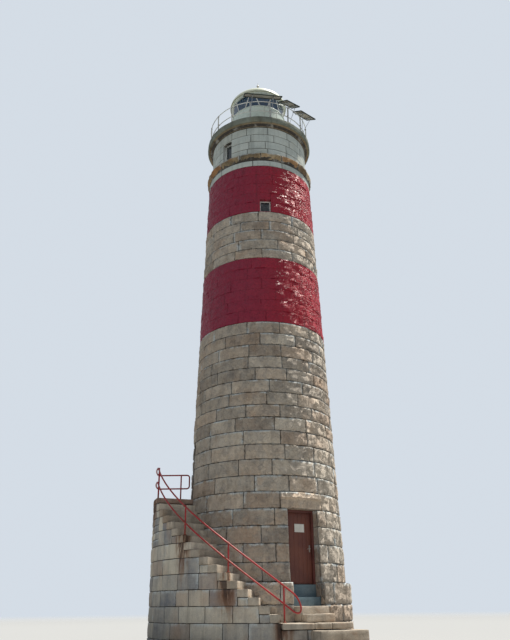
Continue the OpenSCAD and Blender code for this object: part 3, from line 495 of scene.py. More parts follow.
def stops(length, count):
    """Distances across each length: 0, two lines near the edge, equal steps, two lines at the far side."""
    margins = np.array([0, 0.009, 0.026])
    inner = np.linspace(0, 1, count - 4)[1:-1]
    length = length[:, None]
    scale = np.minimum(1, length / 0.2)
    left = margins[None] * scale
    first, last = left[:, -1:], length - left[:, -1:]
    return np.concatenate([left, first + (last - first) * inner[None], length - left[:, ::-1]], 1)


def stones(cells, place, reach, style, seed=0, windows=()):
    """Closed stones, one for each cell [u0, u1, z0, z1] of a wall chart place(u, z, depth) -> point.

    Each front is a grid over the cell less its joint. Its outline is rounded at the corners and wobbles a
    little. Its depth rises from the arris to the face as one less the square of one less t, where t is the
    distance from the outline as a share of the edge's width. The relief of split stone, a bulge and a tilt
    are added to it. Straight sides run back to a flat back face."""
    joint, arris, corner = style["joint"], style["arris"], style["corner"]
    columns, rows = style["columns"], style["rows"]
    cells = np.asarray(cells, float)
    count = len(cells)
    rng = np.random.default_rng(seed + 71)
    u0, u1, z0, z1 = cells.T
    width, height = (u1 - u0) * reach - joint, z1 - z0 - joint
    x = np.repeat(stops(width, columns)[:, None, :], rows, 1)
    y = np.repeat(stops(height, rows)[:, :, None], columns, 2)
    w, h = width[:, None, None], height[:, None, None]
    edge = np.minimum(np.minimum(x, w - x), np.minimum(y, h - y))

    sign_x, sign_y = np.where(x < w / 2, 1, -1), np.where(y < h / 2, 1, -1)
    q = np.stack([corner - np.minimum(x, w - x), corner - np.minimum(y, h - y)], -1) / corner
    at_corner = (q > 0).all(-1)
    length = np.maximum(np.linalg.norm(q, axis=-1), 1e-9)
    scale = np.where(at_corner, q.max(-1) / length, 1)
    moved = corner * (q - q * scale[..., None])
    x = x + np.where(at_corner, sign_x * moved[..., 0], 0)
    y = y + np.where(at_corner, sign_y * moved[..., 1], 0)

    lift = 1 - (1 - np.clip(edge / style["edge"], 0, 1)) ** 2
    u = u0[:, None, None] + (x + joint / 2) / reach
    z = z0[:, None, None] + y + joint / 2
    where = place(u, z, np.zeros_like(u))
    wobble = style["wobble"] * (1 - 0.6 * lift)
    u = u + wobble * noise(where, 0.13, seed + 11) / reach
    z = z + wobble * noise(where, 0.13, seed + 12)
    tilt = rng.uniform(-1, 1, (2, count, 1, 1)) * style["tilt"]
    hump = 1 - ((2 * x / w - 1) ** 2 + (2 * y / h - 1) ** 2) * 0.5
    own = rng.uniform(0, 40, (count, 1, 1, 1))
    split = rock(where + own, seed)
    face_depth = (style["face"] + style["relief"] * split + style["bulge"] * (hump - 0.5)
                  + tilt[0] * (2 * x / w - 1) + tilt[1] * (2 * y / h - 1))
    if style["ledge"]:
        share = y / h
        ledge = np.clip((share - 0.54) / 0.1, 0, 1) * (1 - 0.75 * np.clip((share - 0.66) / 0.34, 0, 1))
        face_depth = face_depth + style["ledge"] * ledge * (0.8 + 0.8 * rock(where + own + 3, seed))
    face_depth = np.clip(face_depth, -arris + 0.004, style["most"])
    depth = -arris * (1 - lift) + face_depth * lift

    outline = np.concatenate([
        np.arange(columns), np.arange(1, rows) * columns + columns - 1,
        (rows - 1) * columns + np.arange(columns - 2, -1, -1), np.arange(rows - 2, 0, -1) * columns])

    def flat(grid):
        return grid.reshape(count, -1)

    def backed(front, back):
        return np.concatenate([flat(front), np.broadcast_to(back, (count, len(outline)))], 1)

    points = place(backed(u, flat(u)[:, outline]), backed(z, flat(z)[:, outline]),
                   backed(depth, -style["back"]))
    for window in windows:
        points = cleared(points, window)
    # Marks for the pale smears: lime beside one upright joint, and lime with painted skylight along the top
    # edge
    limed = rng.random((count, 2))[..., None]
    top_gap, side_gap = h - y, np.where(limed[:, :1] < 0.5, x, w - x)
    top_lime_and_skylight, side_lime = np.where(limed[:, 1:] < 0.62, 1, 0.25), np.where(limed[:, 1:] < 0.35, 0.9, 0.1)
    crest = np.maximum((1 - np.clip(top_gap / 0.075, 0, 1)) * top_lime_and_skylight,
                       (1 - np.clip(side_gap / 0.07, 0, 1)) * side_lime)

    grid = np.arange(rows * columns).reshape(rows, columns)
    front = np.stack([grid[:-1, :-1], grid[:-1, 1:], grid[1:, 1:], grid[1:, :-1]], -1).reshape(-1, 4)
    rear = rows * columns + np.arange(len(outline))
    sides = np.stack([outline, rear, np.roll(rear, -1), np.roll(outline, -1)], -1)
    per_stone = points.shape[1]
    start = (np.arange(count) * per_stone)[:, None, None]
    faces = [group[None] + start for group in (front, sides, rear[None, ::-1])]
    return Shape(points, faces, tint=np.repeat(rng.random(count), per_stone),
                 hue=np.repeat(rng.random(count), per_stone), rim=backed(1 - lift, 1.0),
                 crest=backed(crest, 0.0))


def cleared(points, window):
    """Moves the points of stones that reach into an opening to its nearer side, or to its head or foot."""
    bearing, width, z0, z1 = window
    c, s = cos(bearing), sin(bearing)
    across = points[..., 0] * c + points[..., 1] * s
    outward = points[..., 0] * s - points[..., 1] * c
    inside = (np.abs(across) < width / 2) & (outward > 0) & (points[..., 2] > z0) & (points[..., 2] < z1)
    shift = np.where(inside, np.sign(across) * width / 2 - across, 0)
    return points + shift[..., None] * np.array([c, s, 0])


def run(a0, a1, z0, z1, radius, stone, spread, rng):
    """Cells of one course from bearing to bearing, divided into stones of uneven lengths."""
    count = max(1, round((a1 - a0) * radius / stone))
    lengths = rng.uniform(1 - spread, 1 + spread, count)
    ends = a0 + (a1 - a0) * np.concatenate([[0], np.cumsum(lengths) / lengths.sum()])
    return [[a, b, z0, z1] for a, b in zip(ends[:-1], ends[1:])]


def course(z0, z1, stone, radius, rng, openings=(), quoin=0.0):
    """Cells of one course round a wall: runs of stones in the free arcs between openings, and a cell over or
    under an opening that takes only part of the course's height. A quoin is the length of the stones beside
    an opening."""
    holes, cells = [], []
    for bearing, width, low, top in openings:
        if low < z1 - 0.02 and top > z0 + 0.02:
            half = asin(width / 2 / radius)
            holes.append((bearing - half, bearing + half))
            if top < z1 - 0.04:
                cells.append([bearing - half, bearing + half, top, z1])
            if low > z0 + 0.04:
                cells.append([bearing - half, bearing + half, z0, low])
    holes.sort()
    if holes:
        starts = [hole[0] for hole in holes[1:]] + [holes[0][0] + 2 * pi]
        arcs = [(hole[1], start) for hole, start in zip(holes, starts)]
    else:
        start = rng.uniform(0, 1)
        arcs = [(start, start + 2 * pi)]
    for a0, a1 in arcs:
        if quoin and holes and (a1 - a0) * radius > 3 * quoin:
            side = quoin / radius
            cells += [[a0, a0 + side, z0, z1], [a1 - side, a1, z0, z1]]
            a0, a1 = a0 + side, a1 - side
        cells += run(a0, a1, z0, z1, radius, stone, 0.2, rng)
    return cells


def wall_core(profile_of, z0, z1, opening=None):
    """Closed blocks that make up a round wall between two heights, with its opening left out.

    profile_of(low, top) gives the wall's [radius, height] section. Blocks beside an opening end on a plane
    at half its width from its middle line."""
    if opening is None:
        return ring_solid(profile_of(z0, z1))
    bearing, width, low, top = opening

    def sides(section):
        radius = np.asarray(section, float)[:, 0]
        return side_bearing(bearing, -width / 2, radius), side_bearing(bearing, width / 2, radius)

    section = profile_of(z0, z1)
    left, right = sides(section)
    steps = int((left + 2 * pi - right).max() * (192 / (2 * pi)))
    blocks = [arc_solid(section, right, left + 2 * pi, steps)]
    for a, b in ((z0, low), (top, z1)):
        if b - a > 0.01:
            blocks.append(arc_solid(profile_of(a, b), *sides(profile_of(a, b)), 8))
    return joined(blocks)


# Finishes

class Wire:
    """One output of a material's node tree; arithmetic on it adds the nodes that compute the result."""

    def __init__(self, tree, socket=None):
        self.tree = tree
        self.socket = socket

    def node(self, kind, settings=(), out=0, **inputs):
        """Adds a node of any type, sets its properties, then its inputs from values or wires."""
        made = self.tree.nodes.new(kind)
        for key, value in dict(settings).items():
            setattr(made, key, value)
        for key, value in inputs.items():
            name = key.replace("_", " ")
            place = made.inputs[int(key[1:])] if key[0] == "i" and key[1:].isdigit() else made.inputs[name]
            if isinstance(value, Wire):
                self.tree.links.new(value.socket, place)
            else:
                place.default_value = value
        return Wire(self.tree, made.outputs[out] if made.outputs else None)

    def math(self, operation, *values):
        """Math node of an operation on this wire and more values."""
        given = {f"i{k}": value for k, value in enumerate((self,) + values)}
        return self.node("ShaderNodeMath", {"operation": operation}, **given)

    def __add__(self, other):
        return self.math("ADD", other)

    __radd__ = __add__

    def __mul__(self, other):
        return self.math("MULTIPLY", other)

    __rmul__ = __mul__

    def __sub__(self, other):
        return self.math("SUBTRACT", other)

    def __rsub__(self, other):
        return (self * -1) + other

    def __truediv__(self, other):
        return self.math("DIVIDE", other)

    def over(self, low, high):
        """Smooth step from 0 at low to 1 at high."""
        return self.node("ShaderNodeMapRange", {"interpolation_type": "SMOOTHSTEP"},
                         Value=self, From_Min=low, From_Max=high)

    def scaled(self, x, y, z):
        """Coordinates stretched along each axis."""
        return self.node("ShaderNodeVectorMath", {"operation": "MULTIPLY"}, i0=self, i1=(x, y, z))

    def part(self, axis):
        """One coordinate of a vector."""
        return self.node("ShaderNodeSeparateXYZ", out=axis, Vector=self)

    def noise(self, scale, detail=4.0, roughness=0.55, distortion=0.0):
        """Noise from 0 to 1 at these coordinates, so many lumps in a metre."""
        return self.node("ShaderNodeTexNoise", Vector=self, Scale=scale, Detail=detail, Roughness=roughness,
                         Distortion=distortion)

    def cells(self, scale, out="Distance"):
        """Distance to the nearest of scattered points, so many in a metre, or that point's colour."""
        return self.node("ShaderNodeTexVoronoi", out=out, Vector=self, Scale=scale)

    def mixed(self, other, share):
        """Colour between this one and another, which is a wire or a constant."""
        other = other if isinstance(other, Wire) else (*other, 1)
        return self.node("ShaderNodeMix", {"data_type": "RGBA"}, 2, i0=share, i6=self, i7=other)

    def darkened(self, share):
        """Colour multiplied by a brightness."""
        return self.node("ShaderNodeVectorMath", {"operation": "SCALE"}, i0=self, Scale=share)


class Finish:
    """A material being made: its tree, its coordinates and its shader."""

    def __init__(self, name):
        self.material = bpy.data.materials.new(name)
        self.material.use_nodes = True
        tree = self.material.node_tree
        tree.nodes.clear()
        self.tree = tree
        self.root = Wire(tree)
        self.place = self.root.node("ShaderNodeTexCoord", out="Object")
        self.height = self.place.part(2)

    def colour(self, value):
        """Constant colour as a wire."""
        made = self.tree.nodes.new("ShaderNodeRGB")
        made.outputs[0].default_value = (*value[:3], 1)
        return Wire(self.tree, made.outputs[0])

    def mark(self, name):
        """Value per point that the mesh carries."""
        return self.root.node("ShaderNodeAttribute", {"attribute_name": name}, "Fac")

    def ramp(self, factor, *steps):
        """Colour ramp of (position, colour) steps."""
        made = self.tree.nodes.new("ShaderNodeValToRGB")
        elements = made.color_ramp.elements
        while len(elements) < len(steps):
            elements.new(0.5)
        for element, (position, value) in zip(elements, steps):
            element.position = position
            element.color = (*value[:3], 1)
        self.tree.links.new(factor.socket, made.inputs[0])
        return Wire(self.tree, made.outputs[0])

    def facets(self, scale):
        """Height of flat facets: each takes the tilted plane of the nearest of scattered points."""
        vector = "ShaderNodeVectorMath"
        sway = self.root.node("ShaderNodeTexNoise", out="Color", Vector=self.place, Scale=scale * 1.5)
        bent = self.root.node(vector, {"operation": "ADD"}, i0=self.place, i1=sway.darkened(0.35 / scale))
        cells = self.root.node("ShaderNodeTexVoronoi", Vector=bent, Scale=scale).socket.node
        centre, shade = Wire(self.tree, cells.outputs["Position"]), Wire(self.tree, cells.outputs["Color"])
        gap = bent.node(vector, {"operation": "SUBTRACT"}, i0=bent, i1=centre)
        tilt = bent.node(vector, {"operation": "SUBTRACT"}, i0=shade, i1=(0.5, 0.5, 0.5))
        return bent.node(vector, {"operation": "DOT_PRODUCT"}, "Value", i0=gap, i1=tilt) * scale

    def bump(self, height, distance, normal=None):
        """Normal bent by a height in a unit of distance metres."""
        given = {"Height": height, "Distance": distance, "Strength": 1.0}
        if normal is not None:
            given["Normal"] = normal
        return self.root.node("ShaderNodeBump", **given)

    def done(self, colour, roughness, normal=None, **more):
        """Puts a Principled shader on the material and returns the material."""
        if normal is not None:
            more["Normal"] = normal
        shader = self.root.node("ShaderNodeBsdfPrincipled", Base_Color=colour, Roughness=roughness, **more)
        self.root.node("ShaderNodeOutputMaterial", Surface=shader)
        return self.material


def stone_finish(name, dark, middle, light, warm, grain=1.0, lime_and_skylight=0.5, stain=0.5, damp=0.6, rough=0.9,
                 pits=1.0, split=0.0, own=0.35):
    """Weathered stone: each stone's own tone, cloudy patches, mineral stains, runs of dirt, pale bluish
    smears on the arrises that are lime and, along the stones' top edges, also painted skylight, darkening at
    the arrises and in the joints that is partly dirt and partly painted shade, and a grainy, pitted surface,
    with flat facets where it is split."""
    f = Finish(name)
    tint, hue, rim = f.mark("tint"), f.mark("hue"), f.mark("rim")
    cloud = f.place.noise(2.3, 5.0, 0.6)
    fine = f.place.noise(26.0, 6.0, 0.7)
    speck = f.place.noise(120.0, 3.0, 0.6)
    tone = tint * own + cloud * 1.1 + fine * 0.35 - 0.25 - own / 2
    base = f.ramp(tone, (0.08, dark), (0.45, middle), (0.92, light))
    warmth = hue.over(0.55, 1.0) * 0.55 + f.place.noise(1.1, 4.0).over(0.52, 0.7) * 0.5
    base = base.mixed(warm, warmth * stain)
    rust = f.place.noise(0.9, 6.0, 0.65, 0.6).over(0.6, 0.72) * stain * 0.8
    base = base.mixed((0.30, 0.13, 0.05), rust * fine.over(0.35, 0.65))
    runs = f.place.scaled(6.0, 6.0, 0.35).noise(1.0, 5.0, 0.6)
    base = base.darkened(1.12 - runs.over(0.45, 0.75) * 0.42 * damp)
    base = base.darkened(0.78 + fine * 0.32 + speck * 0.14)
    # Pale bluish smears: lime on the arrises, and painted skylight along the stones' top edges
    lime_and_skylight_smear = (f.mark("crest") + rim * 0.35) * f.place.noise(3.4, 5.0, 0.65).over(0.42, 0.58) * lime_and_skylight
    base = base.mixed((0.70, 0.77, 0.80), (lime_and_skylight_smear * fine.over(0.2, 0.55)).math("MINIMUM", 0.9))
    # Darker at the arrises and down the joints' sides: partly dirt, partly painted shade in the joints
    base = base.darkened(1.0 - rim.over(0.55, 1.0) * 0.55)
    trickle = f.place.scaled(9.0, 9.0, 1.4).noise(1.0, 5.0, 0.6).over(0.3, 0.6)
    iron = f.mark("rust") * (trickle * 1.1 + 0.45)
    rusty = f.ramp(iron, (0.25, (0.36, 0.20, 0.09)), (0.7, (0.21, 0.095, 0.045)),
                   (1.0, (0.07, 0.034, 0.022)))
    base = base.mixed(rusty, iron.over(0.10, 0.95) * 0.9)
    low = 1.0 - f.height.over(0.0, 1.6)
    base = base.darkened(1.0 - low * 0.28 * damp)
    pit = f.place.cells(34.0).over(0.08, 0.42)
    surface = f.place.noise(15.0, 8.0, 0.72) * 0.9 + fine * 0.35 + pit * 0.18 * pits + speck * 0.08
    normal = f.bump(surface, 0.014 * grain)
    if split:
        facing_out = 1.0 - rim
        broken = f.facets(5.5) * facing_out + f.facets(14.0) * 0.22 * facing_out
        normal = f.bump(broken, 0.055 * split, normal)
    return f.done(base, rough + (fine - 0.5) * 0.12, normal, Specular_IOR_Level=0.3)


def mortar_finish(name, colour, dark):
    """Lime mortar and packing between stones, sandy and dirty."""
    f = Finish(name)
    cloud = f.place.noise(3.5, 5.0, 0.65)
    base = f.colour(dark).mixed(colour, cloud.over(0.48, 0.68))
    base = base.darkened(0.75 + f.place.noise(70.0, 4.0) * 0.5)
    return f.done(base, 0.95, f.bump(f.place.noise(60.0, 5.0, 0.7), 0.004))


def wall_paint_finish(name, colour, sheen, wear):
    """Gloss masonry paint over stone: fading, a painted shade with a painted bluish sky reflection towards
    -X, chalky streaks, darkening in the joints that is partly dirt and partly painted shade, and a few bare
    chips.
    """
    f = Finish(name)
    tint, rim = f.mark("tint"), f.mark("rim")
    cloud = f.place.noise(1.6, 5.0, 0.6)
    fine = f.place.noise(22.0, 6.0, 0.65)
    base = f.colour(colour).darkened(0.80 + tint * 0.06 + cloud * 0.30)
    faded = f.place.noise(0.8, 4.0, 0.6, 0.4).over(0.50, 0.75) * 0.25
    base = base.mixed((0.40, 0.05, 0.08), faded)
    # Painted shade with a painted bluish sky reflection, growing towards the -X side
    shade_and_sky_side = (f.place.part(0) * -1.0 + f.place.part(1) * -0.2).over(-0.2, 2.4)
    base = base.mixed((0.20, 0.016, 0.060), shade_and_sky_side * 0.6)
    runs = f.place.scaled(7.0, 7.0, 0.4).noise(1.0, 5.0, 0.6).over(0.5, 0.8)
    base = base.darkened(1.0 - runs * 0.4)
    # Darker at the arrises and in the joints: partly dirt, partly painted shade
    base = base.mixed((0.18, 0.012, 0.018), rim.over(0.8, 1.0) * 0.5)
    chips = f.place.noise(9.0, 7.0, 0.75).over(0.66, 0.69) * fine.over(0.5, 0.6) * wear
    base = base.mixed((0.45, 0.36, 0.27), chips)
    gloss = sheen + fine * 0.16 + cloud * 0.12 + chips * 0.4
    surface = f.place.noise(13.0, 7.0, 0.7) * 0.8 + fine * 0.3 - chips * 0.25
    normal = f.bump(f.facets(7.0) + f.facets(17.0) * 0.4, 0.06, f.bump(surface, 0.014))
    return f.done(base, gloss, normal, Specular_IOR_Level=0.45)


def enamel_finish(name, colour, shade, rust=0.3, sheen=0.35, scale=1.0):
    """Enamel on metal: chalking, dirt runs, and rust that breaks through in spots and where it is marked."""
    f = Finish(name)
    cloud = f.place.noise(4.0 * scale, 5.0, 0.6)
    fine = f.place.noise(60.0 * scale, 5.0, 0.65)
    base = f.colour(colour).mixed(shade, cloud.over(0.42, 0.72))
    runs = f.place.scaled(14.0, 14.0, 1.2).noise(1.0, 4.0, 0.6).over(0.52, 0.78)
    base = base.darkened(1.0 - runs * 0.22)
    spots = f.place.noise(17.0 * scale, 7.0, 0.75)
    marked = f.mark("rust") * spots.over(0.38, 0.56) * 1.3
    worn = (spots.over(0.64, 0.7) + marked).math("MINIMUM", 1.0) * rust
    rusty = f.ramp(fine, (0.3, (0.09, 0.035, 0.02)), (0.7, (0.28, 0.11, 0.045)))
    base = base.mixed(rusty, worn)
    surface = worn * 0.8 * fine + cloud * 0.15 + fine * 0.05
    return f.done(base, sheen + fine * 0.15 + worn * 0.45, f.bump(surface, 0.0012))


def timber_finish(name, colour, shade, sheen=0.4):
    """Painted timber: upright grain, brush marks, cloudy patches and scuffs."""
    f = Finish(name)
    grain = f.place.scaled(38.0, 38.0, 1.6).noise(1.0, 6.0, 0.6)
    cloud = f.place.noise(1.8, 5.0, 0.6)
    base = f.colour(colour).mixed(shade, cloud.over(0.35, 0.7) * 0.8)
    base = base.darkened(0.8 + grain * 0.34)
    scuffs = f.place.scaled(20.0, 20.0, 5.0).noise(1.0, 7.0, 0.75).over(0.62, 0.68)
    base = base.mixed((0.23, 0.17, 0.14), scuffs * 0.5)
    return f.done(base, sheen + grain * 0.2 + scuffs * 0.2, f.bump(grain * 0.7 + scuffs * -0.3, 0.0018))


def metal_finish(name, colour, rough=0.4, rust=0.3):
    """Bare or galvanised metal: spangled grey, dull patches and spots of rust."""
    f = Finish(name)
    fine = f.place.noise(45.0, 6.0, 0.65)
    patch = f.place.cells(60.0, out="Color").part(0)
    base = f.colour(colour).darkened(0.75 + patch * 0.2 + fine * 0.3)
    worn = f.place.noise(12.0, 7.0, 0.7).over(0.58, 0.7) * rust
    base = base.mixed((0.22, 0.10, 0.05), worn)
    metallic = 0.85 - worn * 0.8
    return f.done(base, rough + patch * 0.12 + worn * 0.4, f.bump(fine, 0.0008), Metallic=metallic)


def glass_finish(name, colour, alpha_share=0.35, rough=0.06):
    """Glass as a coloured sheet that shows a little of what is behind, its dark colour a painted shade of
    the dim inside, with dust and salt on it.
    """
    f = Finish(name)
    dust = f.place.noise(6.0, 6.0, 0.65).over(0.45, 0.8)
    fine = f.place.noise(90.0, 4.0, 0.6)
    # The dark base colour is painted shade of the dim inside behind the glass
    base = f.colour(colour).mixed((0.35, 0.40, 0.42), dust * 0.22)
    edge = f.root.node("ShaderNodeFresnel", IOR=1.5)
    alpha = (1 - alpha_share) + edge * 0.6 + dust * 0.15
    return f.done(base, rough + dust * 0.12 + fine * 0.03, Alpha=alpha.math("MINIMUM", 1.0), Coat_Weight=0.6,
                  Coat_Roughness=0.04)


def cell_finish(name):
    """Solar cells under glass: dark blue squares with pale bus lines, by the panel's own u and v."""
    f = Finish(name)
    u, v = f.mark("u"), f.mark("v")
    pitch = 0.156
    across = (u / pitch).math("FRACT")
    along = (v / pitch).math("FRACT")
    gap = ((across - 0.5).math("ABSOLUTE").over(0.475, 0.487)
           + (along - 0.5).math("ABSOLUTE").over(0.475, 0.487)).math("MINIMUM", 1.0)
    bus = ((across * 3).math("FRACT") - 0.5).math("ABSOLUTE").over(0.47, 0.485)
    cloud = f.place.noise(30.0, 3.0, 0.6)
    base = f.ramp(cloud, (0.35, (0.008, 0.014, 0.045)), (0.65, (0.02, 0.035, 0.09)))
    base = base.mixed((0.32, 0.34, 0.36), (gap * 0.35 + bus * 0.45).math("MINIMUM", 1.0))
    dust = f.place.noise(5.0, 6.0, 0.65).over(0.45, 0.8)
    base = base.mixed((0.42, 0.40, 0.35), dust * 0.2)
    return f.done(base, 0.12 + dust * 0.25, Coat_Weight=0.7, Coat_Roughness=0.05)


# Settings

def length_setting(name, description, default, low, high):
    """Setting that holds a length."""
    return FloatProperty(name=name, description=description, default=default, min=low, max=high,
                         unit="LENGTH")


def colour_setting(name, description, default):
    """Setting that holds a colour."""
    return FloatVectorProperty(name=name, description=description, subtype="COLOR", size=3, default=default)


class LighthouseSettings(bpy.types.PropertyGroup):
    """Sizes and colours of the lighthouse's looks."""

    stone_length: length_setting(
        "Stone length", "Usual length of a stone in the tower's courses", 1.22, 0.5, 2.5)
    joint: length_setting("Joint", "Width of the joints between rough stones", 0.016, 0.004, 0.04)
    relief: length_setting("Relief", "How far the split faces stand in and out", 0.038, 0.0, 0.06)
    seed: IntProperty(
        name="Seed", description="Seed of the stones' lengths and relief", default=4, min=0, max=999)
    stone_dark: colour_setting("Dark stone", "Darkest stones", (0.240, 0.208, 0.178))
    stone_middle: colour_setting("Stone", "Usual tone of the stones", (0.405, 0.358, 0.305))
    stone_light: colour_setting("Pale stone", "Palest stones", (0.620, 0.560, 0.475))
    stone_warm: colour_setting("Warm stone", "Stones with iron in them", (0.440, 0.280, 0.175))
    red_paint: colour_setting("Red bands", "Paint of the bands", (0.390, 0.003, 0.020))
    rail_red: colour_setting("Red rails", "Paint of the stair's rails", (0.420, 0.020, 0.026))
    white_paint: colour_setting(
        "White paint", "Enamel of the gallery rails and windows", (0.780, 0.800, 0.780))
    door_red: colour_setting("Door", "Paint of the doors", (0.180, 0.058, 0.038))
    sun_strength: FloatProperty(
        name="Sun", description="Strength of the studio's sun", default=6.2, min=0.0, max=10.0)
    sky_strength: FloatProperty(
        name="Sky", description="Strength of the light from all round", default=0.38, min=0.0, max=5.0)


FINISHES = {}


def mix_finishes(s):
    """Makes the finishes that the pieces share, once."""
    if FINISHES:
        return FINISHES
    stone = (s.stone_dark, s.stone_middle, s.stone_light, s.stone_warm)
    FINISHES.update(
        stone=stone_finish("Sandstone", *stone, lime_and_skylight=1.2, split=3.2, damp=0.45, own=0.4),
        stair_stone=stone_finish("Stair stone", (0.25, 0.26, 0.28), (0.43, 0.41, 0.375), (0.66, 0.61, 0.51),
                                 (0.42, 0.27, 0.18), lime_and_skylight=0.8, stain=0.6, damp=0.7, split=0.45, own=0.85),
        mortar=mortar_finish("Mortar", (0.32, 0.31, 0.28), (0.055, 0.048, 0.042)),
        dark_mortar=mortar_finish("Band joints", (0.30, 0.014, 0.022), (0.16, 0.012, 0.016)),
        red=wall_paint_finish("Red wall paint", s.red_paint, 0.30, 0.35),
        white_stone=stone_finish("Limewashed ashlar", (0.34, 0.38, 0.37), (0.47, 0.52, 0.50),
                                 (0.62, 0.66, 0.63), (0.42, 0.38, 0.29), grain=0.25, lime_and_skylight=0.3, stain=0.35,
                                 damp=0.55, rough=0.75),
        ochre=stone_finish("Ochre stone", (0.15, 0.125, 0.085), (0.36, 0.27, 0.16), (0.62, 0.54, 0.40),
                           (0.50, 0.20, 0.06), grain=1.6, lime_and_skylight=0.9, stain=0.9, damp=0.9, split=1.8, own=0.7),
        cornice=stone_finish("Cornice stone", (0.10, 0.085, 0.055), (0.20, 0.165, 0.105),
                             (0.31, 0.27, 0.185), (0.25, 0.12, 0.05), grain=0.6, lime_and_skylight=0.05, stain=0.8,
                             damp=0.9, own=0.6),
        tread=stone_finish("Tread stone", (0.25, 0.215, 0.175), (0.43, 0.375, 0.310), (0.66, 0.60, 0.51),
                           (0.42, 0.28, 0.18), grain=1.3, lime_and_skylight=0.4, stain=0.8, damp=0.8, split=0.35,
                           own=0.5),
        landing=stone_finish("Landing stone", (0.17, 0.12, 0.10), (0.32, 0.24, 0.20), (0.45, 0.37, 0.30),
                             (0.30, 0.14, 0.09), grain=0.6, lime_and_skylight=0.2, stain=0.6, damp=0.8),
        painted_step=stone_finish("Painted step", (0.05, 0.085, 0.11), (0.11, 0.165, 0.20),
                                  (0.21, 0.28, 0.32), (0.20, 0.20, 0.19), grain=0.35, lime_and_skylight=0.3, stain=0.25,
                                  damp=0.5, rough=0.6),
        floor=stone_finish("Floor stone", (0.26, 0.25, 0.24), (0.38, 0.37, 0.35), (0.48, 0.46, 0.43),
                           (0.36, 0.30, 0.24), grain=0.4, stain=0.3),
        deck=stone_finish("Deck concrete", (0.105, 0.120, 0.100), (0.185, 0.205, 0.175), (0.30, 0.32, 0.28),
                          (0.28, 0.22, 0.13), grain=0.5, lime_and_skylight=0.2, stain=0.5, damp=0.9, pits=1.6),
        door=timber_finish("Door paint", s.door_red, (0.12, 0.035, 0.030)),
        frame=timber_finish("Frame paint", (0.16, 0.050, 0.042), (0.10, 0.030, 0.026)),
        white_wood=timber_finish("White window paint", s.white_paint, (0.55, 0.57, 0.54)),
        rail_red=enamel_finish("Red rail enamel", s.rail_red, (0.30, 0.018, 0.022), 0.9, 0.30, 2.0),
        white=enamel_finish("White enamel", s.white_paint, (0.60, 0.63, 0.60), 0.55, 0.4, 2.0),
        post_grey=enamel_finish("Weathered post enamel", (0.60, 0.62, 0.60), (0.42, 0.44, 0.42), 0.8, 0.5,
                                2.0),
        lantern=enamel_finish("Lantern enamel", (0.72, 0.82, 0.77), (0.58, 0.67, 0.62), 0.45, 0.36, 1.0),
        dome=enamel_finish("Dome enamel", (0.84, 0.88, 0.72), (0.70, 0.75, 0.60), 0.4, 0.34, 0.8),
        steel=metal_finish("Dull steel", (0.42, 0.41, 0.39), 0.42, 0.5),
        dark_steel=metal_finish("Dark hinge steel", (0.16, 0.155, 0.15), 0.5, 0.6),
        zinc=metal_finish("Galvanised steel", (0.50, 0.52, 0.53), 0.45, 0.3),
        # Glass colours: painted shade of the dim insides; the lantern's blue also paints the reflected sky
        glass=glass_finish("Lantern glass", (0.012, 0.055, 0.125), 0.22),
        window_glass=glass_finish("Window glass", (0.012, 0.018, 0.022), 0.12, 0.1),
        cells=cell_finish("Solar cells"),
        panel_frame=metal_finish("Dark panel frame", (0.055, 0.068, 0.058), 0.45, 0.15),
        backsheet=enamel_finish("Panel backsheet", (0.42, 0.38, 0.33), (0.30, 0.27, 0.24), 0.1, 0.55, 1.0),
        paper=timber_finish("Notice paper", (0.80, 0.80, 0.77), (0.66, 0.66, 0.62), 0.7),
    )
    return FINISHES


# Styles of stones: lengths in metres, and the columns and rows of the grid on each front
ROUGH = {"joint": 0.017, "relief": 0.032, "bulge": 0.010, "arris": 0.022, "edge": 0.030, "corner": 0.022,
         "columns": 20, "rows": 12, "back": 0.09, "face": 0.0, "wobble": 0.006, "tilt": 0.005, "most": 0.060,
         "ledge": 0.0}
SMOOTH = {"joint": 0.007, "relief": 0.0016, "bulge": 0.0, "arris": 0.007, "edge": 0.010, "corner": 0.010,
          "columns": 9, "rows": 8, "back": 0.06, "wobble": 0.0012, "tilt": 0.0012, "most": 0.003}
CORE_SET_IN = 0.036


def rough_style(s, **changes):
    """Style of the rock-faced stones, with the settings' joint and relief."""
    return {**ROUGH, "joint": s.joint, "relief": s.relief, **changes}


def smooth_style(**changes):
    """Style of dressed stones: thin joints, small arrises and nearly flat faces."""
    return {**ROUGH, **SMOOTH, **changes}


def around(radius_of):
    """Chart of a round wall: bearing, height and depth out of its face."""
    return lambda bearing, z, depth: polar(bearing, radius_of(z) + depth, z)


# Course lines of the tower, from the ground to the cornice
PLINTH_LINES = [0.0, 0.665, 1.132, PLINTH_TOP]
GROUND_LINES = [PLINTH_TOP, 2.288, 2.821, 3.339, DOOR_HEAD_Z, LANDING_Z]
LOWER_LINES = [LANDING_Z, 4.845, 5.349, 5.827, 6.281, 6.727, 7.147, 7.575, 8.010, 8.435, 8.848, 9.287, 9.714,
               foot("lower_red_band")]
LOWER_BAND_LINES = list(np.linspace(foot("lower_red_band"), foot("shaft_middle"), 7))
MIDDLE_LINES = [foot("shaft_middle"), 13.107, 13.522, 13.943, 14.326, foot("upper_red_band")]
UPPER_BAND_LINES = list(np.linspace(foot("upper_red_band"), foot("white_course"), 6))
WATCH_LINES = list(np.linspace(foot("watch_room_wall"), foot("gallery_cornice"), 5))


def courses(lines, stone, radius_of, seed, openings, quoins):
    """Cells of the courses between the lines, with broken bond and quoins of alternate lengths."""
    rng = np.random.default_rng(seed)
    cells = []
    for k, (low, high) in enumerate(zip(lines[:-1], lines[1:])):
        radius = float(radius_of((low + high) / 2))
        cells += course(low, high, stone, radius, rng, openings, quoins[k % len(quoins)])
    return cells


